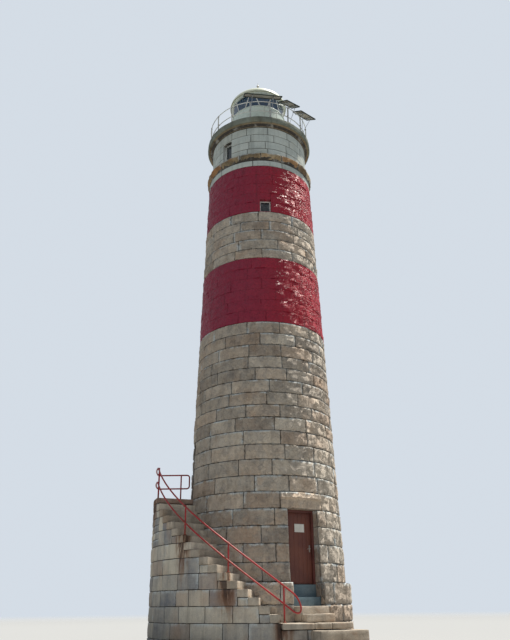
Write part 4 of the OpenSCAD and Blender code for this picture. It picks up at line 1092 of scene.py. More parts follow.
def storey(name, lines, finish, slot, s, seed, style, openings=(), radius_of=shaft_radius, stone=None,
           quoins=(0.0,)):
    """One storey's stones as a piece."""
    cells = courses(lines, stone or s.stone_length, radius_of, s.seed * 13 + seed, openings, quoins)
    radius = float(radius_of(sum(lines) / len(lines)))
    make(name, stones(cells, around(radius_of), radius, style, s.seed * 31 + seed, openings), finish, slot)


def jamb_stones(window, lines, seed, front_of, back_y, split=()):
    """Dressed stones that line both sides of an opening: flat charts that run in from the wall's face."""
    bearing, width, z0, z1 = window
    half = width / 2
    style = smooth_style(back=0.055, relief=0.003, rows=9, joint=0.010)
    across = np.array([cos(bearing), sin(bearing), 0])
    inward = np.array([-sin(bearing), cos(bearing), 0])
    lines = [z0] + [z for z in lines if z0 + 0.05 < z < z1 - 0.05] + [z1]
    shapes = []
    for side in (-1, 1):
        place = straight(side * half * across, inward, (0, 0, 1), -side * across)
        for k, (low, high) in enumerate(zip(lines[:-1], lines[1:])):
            front_y = -sqrt(float(front_of((low + high) / 2)) ** 2 - half ** 2) + style["back"] - 0.004
            ends = [front_y] + [y for y in split if y > front_y + 0.1] + [back_y]
            cells = [[a, b, low, high] for a, b in zip(ends[:-1], ends[1:])]
            shapes.append(stones(cells, place, 1.0, style, seed + 3 * k + side))
    return joined(shapes)


def build_ground_storey(s):
    """Plinth and ground storey: rock-faced stones over a core, the lintel and the lined doorway."""
    f = mix_finishes(s)
    plinth = rough_style(s, face=-0.030, most=-0.001, back=0.24, arris=0.050, edge=0.035, corner=0.045)
    storey("plinth_stones", PLINTH_LINES, f["stone"], "sandstone", s, 1, plinth, (DOORWAY,),
           upright(PLINTH_R), quoins=(0.42, 0.9))
    half_a = asin(LINTEL_HALF / LINTEL_FACE_R)
    lintel = stones([[-half_a, half_a, DOOR_HEAD_Z, LANDING_Z]], around(shaft_radius), LINTEL_FACE_R,
                    rough_style(s, columns=30, rows=20, relief=0.012, ledge=0.08, most=0.09), 77)
    lintel.marks["hue"] = np.full(len(lintel.points), 0.95)
    soffit = block(straight(), (-DOOR_HALF - 0.03, SOFFIT_FRONT_Y, DOOR_HEAD_Z + 0.002),
                   (DOOR_HALF + 0.03, PASSAGE_BACK_Y + 0.01, DOOR_HEAD_Z + 0.12), 0.006, 0.001, 3)
    storey("ground_storey_stones", GROUND_LINES, f["stone"], "sandstone", s, 2, rough_style(s),
           (DOORWAY, LINTEL), quoins=(0.85, 0.42, 0.85, 0.42, 0.0))
    make("doorway_lintel", joined([lintel, soffit]), f["stone"], "sandstone", "entrance_lintel")
    lining = jamb_stones((0.0, 2 * DOOR_HALF, FOOT_SLAB_Z - 0.1, DOOR_HEAD_Z),
                         PLINTH_LINES + GROUND_LINES[1:-1], 40, tower_radius, PASSAGE_BACK_Y, (-2.05, -1.66))
    make("doorway_lining", lining, f["stone"], "sandstone")

    def base_section(z0, z1):
        top = PLINTH_TOP - 0.03
        return [[ROOM_R, z0], [PLINTH_R - 0.058, z0], [PLINTH_R - 0.058, top],
                [shaft_radius(top) - CORE_SET_IN, top], [shaft_radius(z1) - CORE_SET_IN, z1], [ROOM_R, z1]]

    core = wall_core(base_section, 0.0, LANDING_Z, (0.0, 2 * DOOR_HALF + 0.05, -1.0, LANDING_Z + 1))
    low = DOOR_HEAD_Z + 0.05
    over_door = [[ROOM_R, low], [shaft_radius(DOOR_HEAD_Z) - CORE_SET_IN, low],
                 [shaft_radius(LANDING_Z) - CORE_SET_IN, LANDING_Z], [ROOM_R, LANDING_Z]]
    side = side_bearing(0, 0.55, np.array([ROOM_R, LINTEL_FACE_R, LINTEL_FACE_R - 0.05, ROOM_R]))
    core = joined([core, arc_solid(over_door, -side, side, 10)])
    make("base_core", core, f["mortar"], "sandstone", "base_wall")


def shaft_section(set_in):
    """Section of the shaft's core between two heights, its face set in from the stones' faces."""
    return lambda z0, z1: [[SHAFT_ROOM_R, z0], [shaft_radius(z0) - set_in, z0],
                           [shaft_radius(z1) - set_in, z1], [SHAFT_ROOM_R, z1]]


def build_shaft(s):
    """Rock-faced stones of the shaft below and between the bands, their cores, and the upper doorway."""
    f = mix_finishes(s)
    section, style = shaft_section(CORE_SET_IN), rough_style(s)
    bearing, width, low, top = UPPER_DOOR
    storey("lower_shaft_stones", LOWER_LINES, f["stone"], "sandstone", s, 3, style, (UPPER_DOOR,))
    core = wall_core(section, LANDING_Z, LOWER_LINES[-1], (bearing, width + 0.05, low - 0.1, top + 0.025))
    make("lower_shaft_core", core, f["mortar"], "sandstone", "shaft_lower")
    lining = jamb_stones((bearing, width, low + 0.004, top), LOWER_LINES, 60, shaft_radius, UPPER_BACK_Y)
    soffit = block(facing(bearing), (-width / 2 - 0.02, UPPER_SOFFIT_FRONT_Y, top + 0.002),
                   (width / 2 + 0.02, UPPER_BACK_Y, top + 0.05), 0.005, 0.001, 4)
    make("upper_doorway_lining", joined([lining, soffit]), f["stone"], "sandstone")
    storey("middle_shaft_stones", MIDDLE_LINES, f["stone"], "sandstone", s, 5, style)
    core = wall_core(section, MIDDLE_LINES[0], MIDDLE_LINES[-1])
    make("middle_shaft_core", core, f["mortar"], "sandstone", "shaft_middle")


def build_bands(s):
    """Red bands: rock-faced stones under thick gloss paint that nearly fills their joints."""
    f = mix_finishes(s)
    painted = rough_style(s, joint=0.003, arris=0.008, corner=0.008, edge=0.014)
    bearing, width, low, top = BAND_WINDOW
    hole = (bearing, width + 0.012, low - 0.1, top + 0.006)
    for band, lines, seed, windows, opening in (("lower", LOWER_BAND_LINES, 4, (), None),
                                                ("upper", UPPER_BAND_LINES, 6, (BAND_WINDOW,), hole)):
        storey(f"{band}_band_stones", lines, f["red"], "red_paint", s, seed, painted, windows)
        core = wall_core(shaft_section(0.024), lines[0], lines[-1], opening)
        make(f"{band}_band_core", core, f["dark_mortar"], "red_paint", f"{band}_red_band")


def build_tower_head(s):
    """White course, weathered string course and the ashlar of the watch room."""
    f = mix_finishes(s)
    z0, z1 = foot("white_course"), head("white_course")
    white = smooth_style(relief=0.003, columns=12, joint=0.020, arris=0.016, corner=0.018, edge=0.014)
    storey("white_course_stones", [z0, z1], f["white_stone"], "white_stone", s, 7, white, stone=1.25)
    core = wall_core(shaft_section(0.022), z0, z1)
    make("white_course_core", core, f["mortar"], "white_stone", "white_course")

    z0, z1 = foot("string_course"), head("string_course")
    h = z1 - z0
    string_z = [z0, z0 + 0.45 * h, z0 + 0.55 * h, z1 - 0.03, z1]
    string_r = [shaft_radius(z0), STRING_R - 0.025, STRING_R - 0.004, STRING_R - 0.004, STRING_R - 0.03]
    weathered = rough_style(s, joint=0.022, relief=0.050, bulge=0.0, arris=0.045, corner=0.04, columns=18,
                            rows=16, face=-0.024, most=0.0, back=0.30, wobble=0.014, edge=0.05)
    storey("string_course_stones", [z0, z1 - 0.002], f["ochre"], "ochre_stone", s, 8, weathered,
           radius_of=lambda z: np.interp(z, string_z, string_r), stone=0.85)
    inner = half_width("watch_room_floor")
    core = ring_solid([[inner, z0], [STRING_R - 0.12, z0], [STRING_R - 0.06, z0 + h / 2],
                       [STRING_R - 0.06, z1 - 0.02], [inner, z1 - 0.02]])
    make("string_course_core", core, f["mortar"], "ochre_stone", "string_course")

    watch = smooth_style(back=0.05, columns=10, joint=0.016, arris=0.012, corner=0.012, edge=0.012)
    storey("watch_room_stones", WATCH_LINES, f["white_stone"], "white_stone", s, 9, watch, (WATCH_WINDOW,),
           upright(WATCH_R), stone=0.78)
    bearing, width, low, top = WATCH_WINDOW
    core = wall_core(lambda a, b: rectangle(WATCH_R - WATCH_CORE_T, WATCH_R - 0.018, a, b),
                     WATCH_LINES[0], WATCH_LINES[-1], (bearing, width + 0.002, low, top))
    make("watch_room_core", core, f["mortar"], "white_stone", "watch_room_wall")


def build_cornice_and_deck(s):
    """Moulded cornice stones under the worn deck slab, and the floors that the openings show."""
    f = mix_finishes(s)
    z0, z1 = foot("gallery_cornice"), head("gallery_cornice")
    turn = np.linspace(0, pi / 2, 9)
    edge = DECK_R - 0.06
    hollow_r = edge - (edge - WATCH_R - 0.02) * np.cos(turn)
    hollow_z = z0 + 0.02 + (z1 - z0 - 0.04) * np.sin(turn)
    cornice_face = lambda z: np.interp(z, [z0, *hollow_z, z1], [WATCH_R + 0.02, *hollow_r, edge])
    moulded = smooth_style(relief=0.003, columns=12, rows=16, joint=0.008, arris=0.008, back=0.2, most=0.004)
    storey("cornice_stones", [z0, z1 - 0.001], f["cornice"], "ochre_stone", s, 10, moulded,
           radius_of=cornice_face, stone=1.0)
    inner = WATCH_R - WATCH_CORE_T
    core = ring_solid([[inner, z0], [WATCH_R, z0], [WATCH_R + 0.02, z0 + 0.03], [edge - 0.05, z1 - 0.012],
                       [inner, z1 - 0.012]])
    make("cornice_core", core, f["mortar"], "ochre_stone", "gallery_cornice")
    z0 = foot("gallery_deck")
    profile = [[0.02, z0], [1.0, z0], [DECK_R - 0.035, z0], [DECK_R - 0.012, z0 + 0.008],
               [DECK_R, z0 + 0.032], [DECK_R, z0 + 0.09], [DECK_R, z0 + 0.16],
               [DECK_R - 0.004, DECK_Z - 0.024], [DECK_R - 0.022, DECK_Z - 0.004],
               [DECK_R - 0.06, DECK_Z], [1.6, DECK_Z], [0.02, DECK_Z]]
    deck = ring_solid(profile, 288, tint=0.4, hue=0.3)
    outer = np.hypot(deck.points[:, 0], deck.points[:, 1])
    worn = np.where(outer > DECK_R - 0.05, 1.0, 0.0) * (0.006 * (1 + noise(deck.points, 0.35, 5))
                                                       + 0.004 * (1 + noise(deck.points, 0.08, 6)))
    deck.points[:, :2] *= (1 - worn / outer)[:, None]
    make("gallery_deck_slab", deck, f["deck"], "deck_concrete", "gallery_deck")
    for node in ("ground_floor", "first_floor", "watch_room_floor"):
        dress(node, f["floor"])


def tread_start(i):
    """Bearing of a tread's lower riser."""
    return FIRST_RISER_A - i * TREAD_A


def stair_inner(z):
    """Radius at which the stair meets the tower, a little inside its face."""
    return float(tower_radius(z)) - 0.03


def flat_end(bearing, turn=-1):
    """Chart of the flat wall that ends the stair: radius, height and depth past its bearing."""
    c, s = cos(bearing), sin(bearing)
    return straight((0, 0, 0), (s, -c, 0), (0, 0, 1), (turn * c, turn * s, 0))


def rust_marks(shape, places, width=0.24, drop=0.75):
    """Gives a shape a mark under rusty posts: strong at each place, and fading down the wall below it."""
    x, y, z = shape.points.T
    mark = np.zeros(len(x))
    for px, py, pz in places:
        below = pz - z
        spread = width * (1 + 0.5 * np.clip(below, 0, 1))
        near = np.exp(-((x - px) ** 2 + (y - py) ** 2) / spread ** 2)
        fade = np.where(below > -0.1, np.exp(-np.clip(below, 0, 9) / drop), 0)
        mark = np.maximum(mark, near * fade)
    shape.marks["rust"] = np.minimum(mark * 1.6, 1)
    return shape


def step_top(bearing):
    """Height of the masonry top under a bearing of the stair."""
    if bearing > FIRST_RISER_A:
        return FOOT_SLAB_Z
    return min(LANDING_Z, FOOT_SLAB_Z + (int((FIRST_RISER_A - bearing) / TREAD_A) + 1) * RISER_H)


def post_feet():
    """Feet of the stair's posts."""
    return [polar(a, STAIR_POST_R, step_top(a)) for a in POST_BEARINGS]


def stair_style(s):
    """Style of the stair's stones, whose faces stay behind the treads' edge."""
    return rough_style(s, relief=s.relief * 0.5, face=-0.020, most=-0.001, arris=0.036, corner=0.020,
                       back=0.14, columns=15, rows=10, edge=0.022)


def build_stair_masonry(s):
    """Courses of the stair's outer wall, two risers high, its flat end and its cores."""
    f = mix_finishes(s)
    rng = np.random.default_rng(s.seed + 9)
    style = stair_style(s)
    cells = []

    def row(a0, a1, z0, z1, stone):
        cells.extend(run(a0, a1, z0, z1, STAIR_R, stone, 0.25, rng))

    row(LANDING_END_A, FIRST_RISER_A, 0.0, LOW_COURSE_Z, 0.95)
    row(LANDING_END_A, FIRST_RISER_A, LOW_COURSE_Z, FOOT_SLAB_Z, 0.9)
    pairs = [FOOT_SLAB_Z + 2 * k * RISER_H for k in range(9)]
    split = LANDING_A + radians(4)
    for k in range(8):
        low, middle, high = pairs[k], pairs[k] + RISER_H, pairs[k + 1]
        top = LANDING_FOOT_Z if k == 7 else high
        whole = tread_start(2 * k + 2)
        if k >= 5:
            row(LANDING_END_A, min(split, whole), low, (low + top) / 2, 0.42)
            row(LANDING_END_A, min(split, whole), (low + top) / 2, top, 0.5)
            if whole > split:
                row(split, whole, low, high, 0.6)
        else:
            row(LANDING_END_A, whole, low, high, 0.80)
        row(whole, tread_start(2 * k + 1), low, middle, 0.5)
    front = stones(cells, around(upright(STAIR_R)), STAIR_R, style, 90)
    end_cells = []
    end_r = STAIR_R - 0.145
    lines = [0, LOW_COURSE_Z] + pairs[:-1] + [LANDING_FOOT_Z]
    for low, high in zip(lines[:-1], lines[1:]):
        inner = stair_inner((low + high) / 2) + 0.025
        middle = inner + (end_r - inner) * rng.uniform(0.35, 0.65)
        end_cells += [[inner, middle, low, high], [middle, end_r, low, high]]
    end = stones(end_cells, flat_end(LANDING_END_A), 1.0, dict(style, face=-0.012), 91)
    make("stair_stones", rust_marks(joined([front, end]), post_feet()), f["stair_stone"], "sandstone")

    stair_in_r, landing_in_r = 2.5, 2.45
    cores = [arc_solid(rectangle(stair_in_r, STAIR_CORE_R, 0, FOOT_SLAB_Z + i * RISER_H - 0.004),
                       tread_start(i + 1), tread_start(i) - 0.002, 4) for i in range(RISERS - 1)]
    cores.append(arc_solid(rectangle(landing_in_r, STAIR_CORE_R, 0, LANDING_FOOT_Z - 0.004),
                           LANDING_END_A + 0.014, LANDING_A, 16))
    make("stair_core", joined(cores), f["mortar"], "sandstone", "stair_base_lower", "stair_base_upper",
         "landing_base")


def arc_chart(radius):
    """Chart of arc length round the axis, distance from it and height."""
    return lambda u, v, w: polar(u / radius, v, w)


def worn(place, low, high, rounding, wear, seed, along, between, dip, tint, hue):
    """Block of step stone, with the marks that its finish reads."""
    return block(place, low, high, rounding, wear, seed, along, between, dip, tint=tint, hue=hue, rim=0.0)


def build_treads(s):
    """Worn treads and the landing slab, stained with rust at the posts' feet."""
    f = mix_finishes(s)
    rng = np.random.default_rng(s.seed + 10)
    half = TREAD_A * STAIR_R / 2
    treads = []
    for i in range(RISERS - 1):
        low = FOOT_SLAB_Z + i * RISER_H
        middle = (tread_start(i) + tread_start(i + 1)) / 2
        place = lambda u, v, w, middle=middle: polar(middle + v / STAIR_R, u, w)
        treads.append(worn(place, (stair_inner(low + RISER_H), -half - 0.012, low + 0.002),
                           (STAIR_R - 0.001, half - 0.003, low + RISER_H), 0.016, 0.004, 100 + i, 10, 3,
                           0.012, rng.random(), rng.random() * 0.7))
    treads = rust_marks(joined(treads), post_feet(), 0.17, 0.3)
    make("stair_treads_worn", treads, f["tread"], "step_stone", "stair_treads")

    landing = worn(arc_chart(STAIR_R),
                   (LANDING_END_A * STAIR_R, stair_inner(LANDING_Z), LANDING_FOOT_Z + 0.002),
                   (LANDING_A * STAIR_R - 0.004, STAIR_R - 0.001, LANDING_Z), 0.020, 0.005, 130, 26, 5,
                   0.004, 0.45, 0.7)
    landing = rust_marks(landing, post_feet(), 0.22, 0.3)
    make("landing_slab_worn", landing, f["landing"], "step_stone", "landing_slab")


def build_foot_steps(s):
    """Foot slab with the stones under it, and the two low steps before it."""
    f = mix_finishes(s)
    slab_r = -BOXES["foot_slab"][0].y
    slab_z = foot("foot_slab")
    ends = [FIRST_RISER_A + 0.001, FIRST_RISER_A + 0.23, -0.02, radians(9.5)]
    slabs = [worn(arc_chart(slab_r), (ends[k] * slab_r + 0.004, PLINTH_R - 0.02, slab_z + 0.002),
                  (ends[k + 1] * slab_r - 0.004, slab_r - 0.002, FOOT_SLAB_Z), 0.030, 0.009, 140 + k, 12, 5,
                  0.006, 0.75 - 0.2 * k, 0.2) for k in range(3)]
    slabs = rust_marks(joined(slabs), post_feet(), 0.17, 0.3)
    make("foot_slab_worn", slabs, f["tread"], "step_stone", "foot_slab")

    base_r, base_end_a = slab_r - 0.05, radians(8.5)
    style = dict(stair_style(s), face=-0.015, most=0.0)
    cells = []
    for low, high, count in ((0.0, LOW_COURSE_Z, 2), (LOW_COURSE_Z, slab_z, 3)):
        ends = np.linspace(FIRST_RISER_A + 0.004, base_end_a, count + 1)
        cells += [[a, b, low, high] for a, b in zip(ends[:-1], ends[1:])]
    base = stones(cells, around(upright(base_r)), base_r, style, 150)
    cells = [[PLINTH_R + 0.01, base_r - 0.1, *rise] for rise in ((0.0, LOW_COURSE_Z), (LOW_COURSE_Z, 0.51))]
    base_end = stones(cells, flat_end(base_end_a, 1), 1.0, dict(style, face=-0.02), 151)
    core = arc_solid(rectangle(PLINTH_R - 0.05, base_r - 0.045, 0, 0.5), FIRST_RISER_A,
                     base_end_a - 0.012, 12, tint=0.0, rim=1.0)
    base = rust_marks(joined([base, base_end, core]), post_feet())
    make("foot_slab_stones", base, f["stair_stone"], "sandstone", "foot_slab_base")

    lo, hi = BOXES["low_steps"]
    slab_front = -slab_r - 0.36
    low_slab = worn(straight(), (lo.x, slab_front, 0.0), (hi.x, -base_r + 0.22, 0.5), 0.030, 0.009, 160,
                    16, 5, 0.006, 0.5, 0.4)
    low_step = worn(straight(), (lo.x + 0.1, lo.y, 0.0), (hi.x - 0.1, slab_front - 0.002, 0.24), 0.028,
                    0.008, 161, 14, 5, 0.006, 0.6, 0.5)
    make("low_steps_worn", joined([low_slab, low_step]), f["tread"], "step_stone", "low_steps")


def build_entrance_steps(s):
    """Steps before the doorway, the painted step in it and the painted sill."""
    f = mix_finishes(s)
    lo, hi = BOXES["entrance_steps"]
    step_line = -PLINTH_R - 0.24
    base_z = FOOT_SLAB_Z + 0.001
    upper = worn(straight(), (lo.x, step_line, base_z), (hi.x, hi.y, 1.10), 0.024, 0.007, 170, 12, 4, 0.006,
                 0.7, 0.3)
    lower = worn(straight(), (lo.x + 0.02, lo.y, base_z), (hi.x, step_line - 0.003, 0.90), 0.026, 0.008, 171,
                 12, 4, 0.006, 0.85, 0.1)
    make("entrance_steps_worn", joined([upper, lower]), f["tread"], "step_stone", "entrance_steps")
    lo, hi = BOXES["doorway_steps"]
    step = worn(straight(), (lo.x, lo.y, base_z), (hi.x, hi.y - 0.001, hi.z), 0.010, 0.003, 172, 14, 5,
                0.003, 0.5, 0.2)
    make("doorway_step_painted", step, f["painted_step"], "painted_step", "doorway_steps")
    lo, hi = BOXES["entrance_sill"]
    sill = worn(straight(), (lo.x, SILL_FRONT_Y, FOOT_SLAB_Z - 0.1), (hi.x, SILL_BACK_Y, THRESHOLD_Z), 0.012,
                0.002, 173, 14, 5, 0.003, 0.6, 0.2)
    make("entrance_sill_painted", sill, f["painted_step"], "painted_step", "entrance_sill")
    sill_foot = worn(straight(), (lo.x, -PLINTH_R + 0.03, 0.0),
                     (hi.x, SILL_BACK_Y - 0.06, FOOT_SLAB_Z - 0.102), 0.010, 0.002, 174, 10, 4, 0.0,
                     0.3, 0.2)
    make("entrance_sill_foot", sill_foot, f["stone"], "sandstone")


def boards(place, x0, x1, y0, y1, z0, z1, seed, along):
    """Six upright boards a hair apart, in a chart of height, distance across and depth."""
    width = (x1 - x0) / 6
    return [block(place, (z0, x0 + k * width + 0.0007, y0), (z1, x0 + (k + 1) * width - 0.0007, y1), 0.0035,
                  0.0006, seed + k, along, 2) for k in range(6)]


def build_entrance_door(s):
    """Door frame, boarded leaf with its ledges, lever handle, hinges and the blank notice sheet."""
    f = mix_finishes(s)
    softened("door_frame_moulded", "door_frame", f["frame"], 0.004)
    lo, hi = BOXES["entrance_door"]
    chart = straight((0, 0, 0), (0, 0, 1), (1, 0, 0), (0, 1, 0))
    leaf = boards(chart, lo.x, hi.x, lo.y, hi.y, lo.z, hi.z, 180, 14)
    leaf += [block(straight(), (lo.x + 0.012, hi.y - 0.004, z), (hi.x - 0.012, hi.y + 0.0035, z + 0.12),
                   0.003, 0.0003, 190, 8, 2) for z in (lo.z + 0.10, lo.z + 1.0, hi.z - 0.22)]
    make("door_leaf_boards", joined(leaf), f["door"], "door_wood", "entrance_door", body=DOOR)

    plate_x, front = hi.x - BACKSET, LEAF_FRONT
    z = (foot("door_handle") + head("door_handle")) / 2
    plate = block(straight(), (plate_x - 0.022, front - 0.004, z - 0.1),
                  (plate_x + 0.022, front + 0.001, z + 0.1), 0.002, 0.0, 0, 4, 1, rust=0.3)
    rose = lathe_out([[0, 0], [0.019, 0], [0.020, 0.003], [0.015, 0.009], [0.010, 0.011], [0.009, 0.046],
                      [0.009, 0.060], [0, 0.062]], (plate_x, front - 0.002, z), 24, rust=0.2)
    t = np.linspace(0, 1, 14)[:, None]
    bend = np.concatenate([-0.116 * t, 0.006 * np.sin(t * pi), -0.012 * t ** 2], 1)
    grip = tube(np.array([plate_x + 0.004, front - 0.056, z]) + bend, 0.0088, (0, 1, 0), rust=0.1)
    keyhole = lathe_out([[0, 0], [0.009, 0], [0.010, 0.002], [0.005, 0.0045], [0, 0.0045]],
                        (plate_x, front - 0.003, z - 0.065), 20, 1.5, rust=0.6)
    lever = joined([plate, rose, grip, keyhole])
    make("door_lever", lever, f["steel"], "hardware", "door_handle", body=DOOR)
    softened("door_hinge_flaps", "door_hinges", f["dark_steel"], 0.0008, DOOR)
    softened("hinge_straps_fixed", "hinge_straps", f["dark_steel"], 0.0008)
    sheet = block(straight(), (NOTICE_X[0], front - 0.0022, NOTICE_Z[0]),
                  (NOTICE_X[1], front + 0.0004, NOTICE_Z[1]), 0.001, 0.0004, 195, 12, 8)
    make("notice_sheet", sheet, f["paper"], "door_wood", body=DOOR)


def window_reveal(name, window, face, set_in, finish, slot):
    """Slabs that line a window's sides, head and foot, from a little behind the wall's face inward."""
    bearing, width, low, top = window
    chart = facing(bearing)
    half, thick = width / 2, 0.02
    front, back = -face + set_in, -face + 0.36
    slabs = [block(chart, (x, front, low + 0.002), (x + thick, back, top), 0.003, 0.001, 210, 6, 2)
             for x in (-half - thick, half)]
    slabs.append(block(chart, (-half - 0.01, front - 0.01, top), (half + 0.01, back, top + 0.018), 0.003,
                       0.001, 211, 6, 2))
    slabs.append(block(chart, (-half + 0.001, -face + 0.012, low - thick), (half - 0.001, back, low + 0.004),
                       0.004, 0.001, 212, 6, 2))
    make(name, joined(slabs), finish, slot)


def build_openings(s):
    """Upper door with its frame, the two windows, and their reveals."""
    f = mix_finishes(s)
    softened("upper_door_frame_moulded", "upper_door_frame", f["frame"], 0.004)
    bearing, width, low, top = UPPER_DOOR
    chart = facing(bearing)
    y = -(float(shaft_radius(LANDING_Z)) - UPPER_LEAF_SET_IN)
    half = width / 2 - 0.0605
    leaf = boards(lambda a, b, c: chart(b, c, a), -half, half, y, y + 0.045, low + 0.01, top - 0.07, 200, 12)
    make("upper_door_boards", joined(leaf), f["door"], "door_wood", "upper_door")
    softened("window_frames_moulded", "window_frames", f["white_wood"], 0.005)
    dress("window_panes", f["window_glass"])
    face = float(shaft_radius(BAND_WINDOW[2]))
    window_reveal("band_window_reveal", BAND_WINDOW, face, 0.085, f["red"], "red_paint")
    window_reveal("watch_window_reveal", WATCH_WINDOW, WATCH_R, 0.030, f["white_wood"], "white_metal")


def rail_height(bearing):
    """Height of the line of the treads at a bearing, level along the landing."""
    return np.minimum(LANDING_Z, FOOT_SLAB_Z + (FIRST_RISER_A - bearing) / TREAD_A * RISER_H)


def post_bar(base, height, radius):
    """Upright pipe on a foot, rusty low down."""
    post = bar(base + [0, 0, 0.004], base + [0, 0, height], radius, 20)
    post.marks["rust"] = np.exp(-(post.points[:, 2] - base[2]) / 0.12)
    return post


def build_stair_rails(s):
    """Red pipe rails of the stair and landing: one bent length, posts with flanges, bolts and clamps."""
    f = mix_finishes(s)
    foot_a = FIRST_RISER_A + radians(5.2)
    bend = (HAND_H - MID_H) / 2
    slope = RISER_H / (TREAD_A * RAIL_R)
    bearings = np.linspace(foot_a, END_POST_A, 130)
    smooth = np.array([rail_height(bearings + shift) for shift in np.linspace(-0.03, 0.03, 7)]).mean(0)
    upper = polar(bearings, RAIL_R, smooth + HAND_H)
    lower = polar(bearings, RAIL_R, smooth + MID_H)
    t = np.linspace(0, pi, 18)[1:-1]
    turn_height = smooth[0] + (HAND_H + MID_H) / 2 + bend * (np.cos(t) - slope * np.sin(t))
    turn = polar(foot_a + bend * np.sin(t) / RAIL_R, RAIL_R, turn_height)
    route = np.concatenate([upper[::-1], turn, lower])
    rails = tube(route, PIPE_R, unit(route * np.array([1, 1, 0])))
    rails.marks["rust"] = np.repeat(np.clip(noise(route, 0.5, 300) * 0.8, 0, 1) * 0.7, 16)

    def on_rail(bearing, height):
        return polar(bearing, RAIL_R, float(rail_height(bearing)) + height)

    cap = [[0, 0], [PIPE_R, 0], [PIPE_R * 0.95, 0.006], [PIPE_R * 0.6, 0.013], [0, 0.016]]
    flange = [[0, 0], [0.055, 0], [0.0576, 0.003], [0.0576, 0.009], [0.055, 0.012], [0.033, 0.013],
              [0.030, 0.030], [0.026, 0.036], [0, 0.036]]
    bolt = [[0, 0], [0.0085, 0], [0.0085, 0.006], [0.006, 0.008], [0.0045, 0.008], [0.0045, 0.013],
            [0, 0.0135]]
    sleeves, posts = [], []
    for a, base in zip(POST_BEARINGS, post_feet()):
        height = float(rail_height(a)) + HAND_H + 0.02 - base[2]
        posts += [post_bar(base, height, PIPE_R), lathe(cap, base + [0, 0, height - 0.002], 20, rust=0.2),
                  lathe(flange, base, rust=1.0), *bolts(bolt, base + [0, 0, 0.011], 0.044, a)]
        for h in (HAND_H, MID_H):
            ahead = unit(on_rail(a - 0.012, h) - on_rail(a + 0.012, h))
            middle = on_rail(a, h)
            sleeves.append(bar(middle - ahead * 0.035, middle + ahead * 0.035, PIPE_R + 0.004, 20, rust=0.6))
            neck = polar(a, np.array([STAIR_POST_R - PIPE_R * 0.6, RAIL_R]), middle[2])
            sleeves.append(bar(*neck, 0.016, 14, rust=0.7))
    make("stair_rail_pipes", joined([rails, *sleeves]), f["rail_red"], "rail_red", "stair_rails")
    make("stair_rail_posts", joined(posts), f["rail_red"], "rail_red", "stair_posts")


def build_landing_rail(s):
    """Loop of pipe across the end of the landing, with its own post."""
    f = mix_finishes(s)
    bend = (HAND_H - MID_H) / 2
    inner, outer = float(shaft_radius(LANDING_Z)) + 0.0605 + bend, RAIL_R - 3 * PIPE_R - 0.001
    chart = facing(END_POST_A)
    corner = 0.09
    t = np.concatenate([np.linspace(-pi / 2, 0, 9), np.linspace(0, pi / 2, 9)])
    rise = np.repeat([-1, 1], 9) * (bend - corner)
    ends = [-outer, -(outer + inner) / 2]
    y = np.concatenate([ends, -inner + bend - corner + corner * np.cos(t), ends[::-1]])
    level = LANDING_Z + (HAND_H + MID_H) / 2 - 0.03
    z = np.concatenate([[level - bend] * 2, level + rise + corner * np.sin(t), [level + bend] * 2])
    loop = tube(chart(np.zeros_like(y), y, z), PIPE_R, chart(1.0, 0.0, 0.0), rust=0.2)
    base = chart(0.0, -inner - 0.06, LANDING_Z)
    flange = lathe([[0, 0], [0.055, 0], [0.0576, 0.009], [0.033, 0.013], [0.030, 0.034], [0, 0.036]], base,
                   rust=1.0)
    parts = [loop, post_bar(base, HAND_H - 0.03, PIPE_R), flange]
    make("landing_rail_loop", joined(parts), f["rail_red"], "rail_red", "landing_rail")


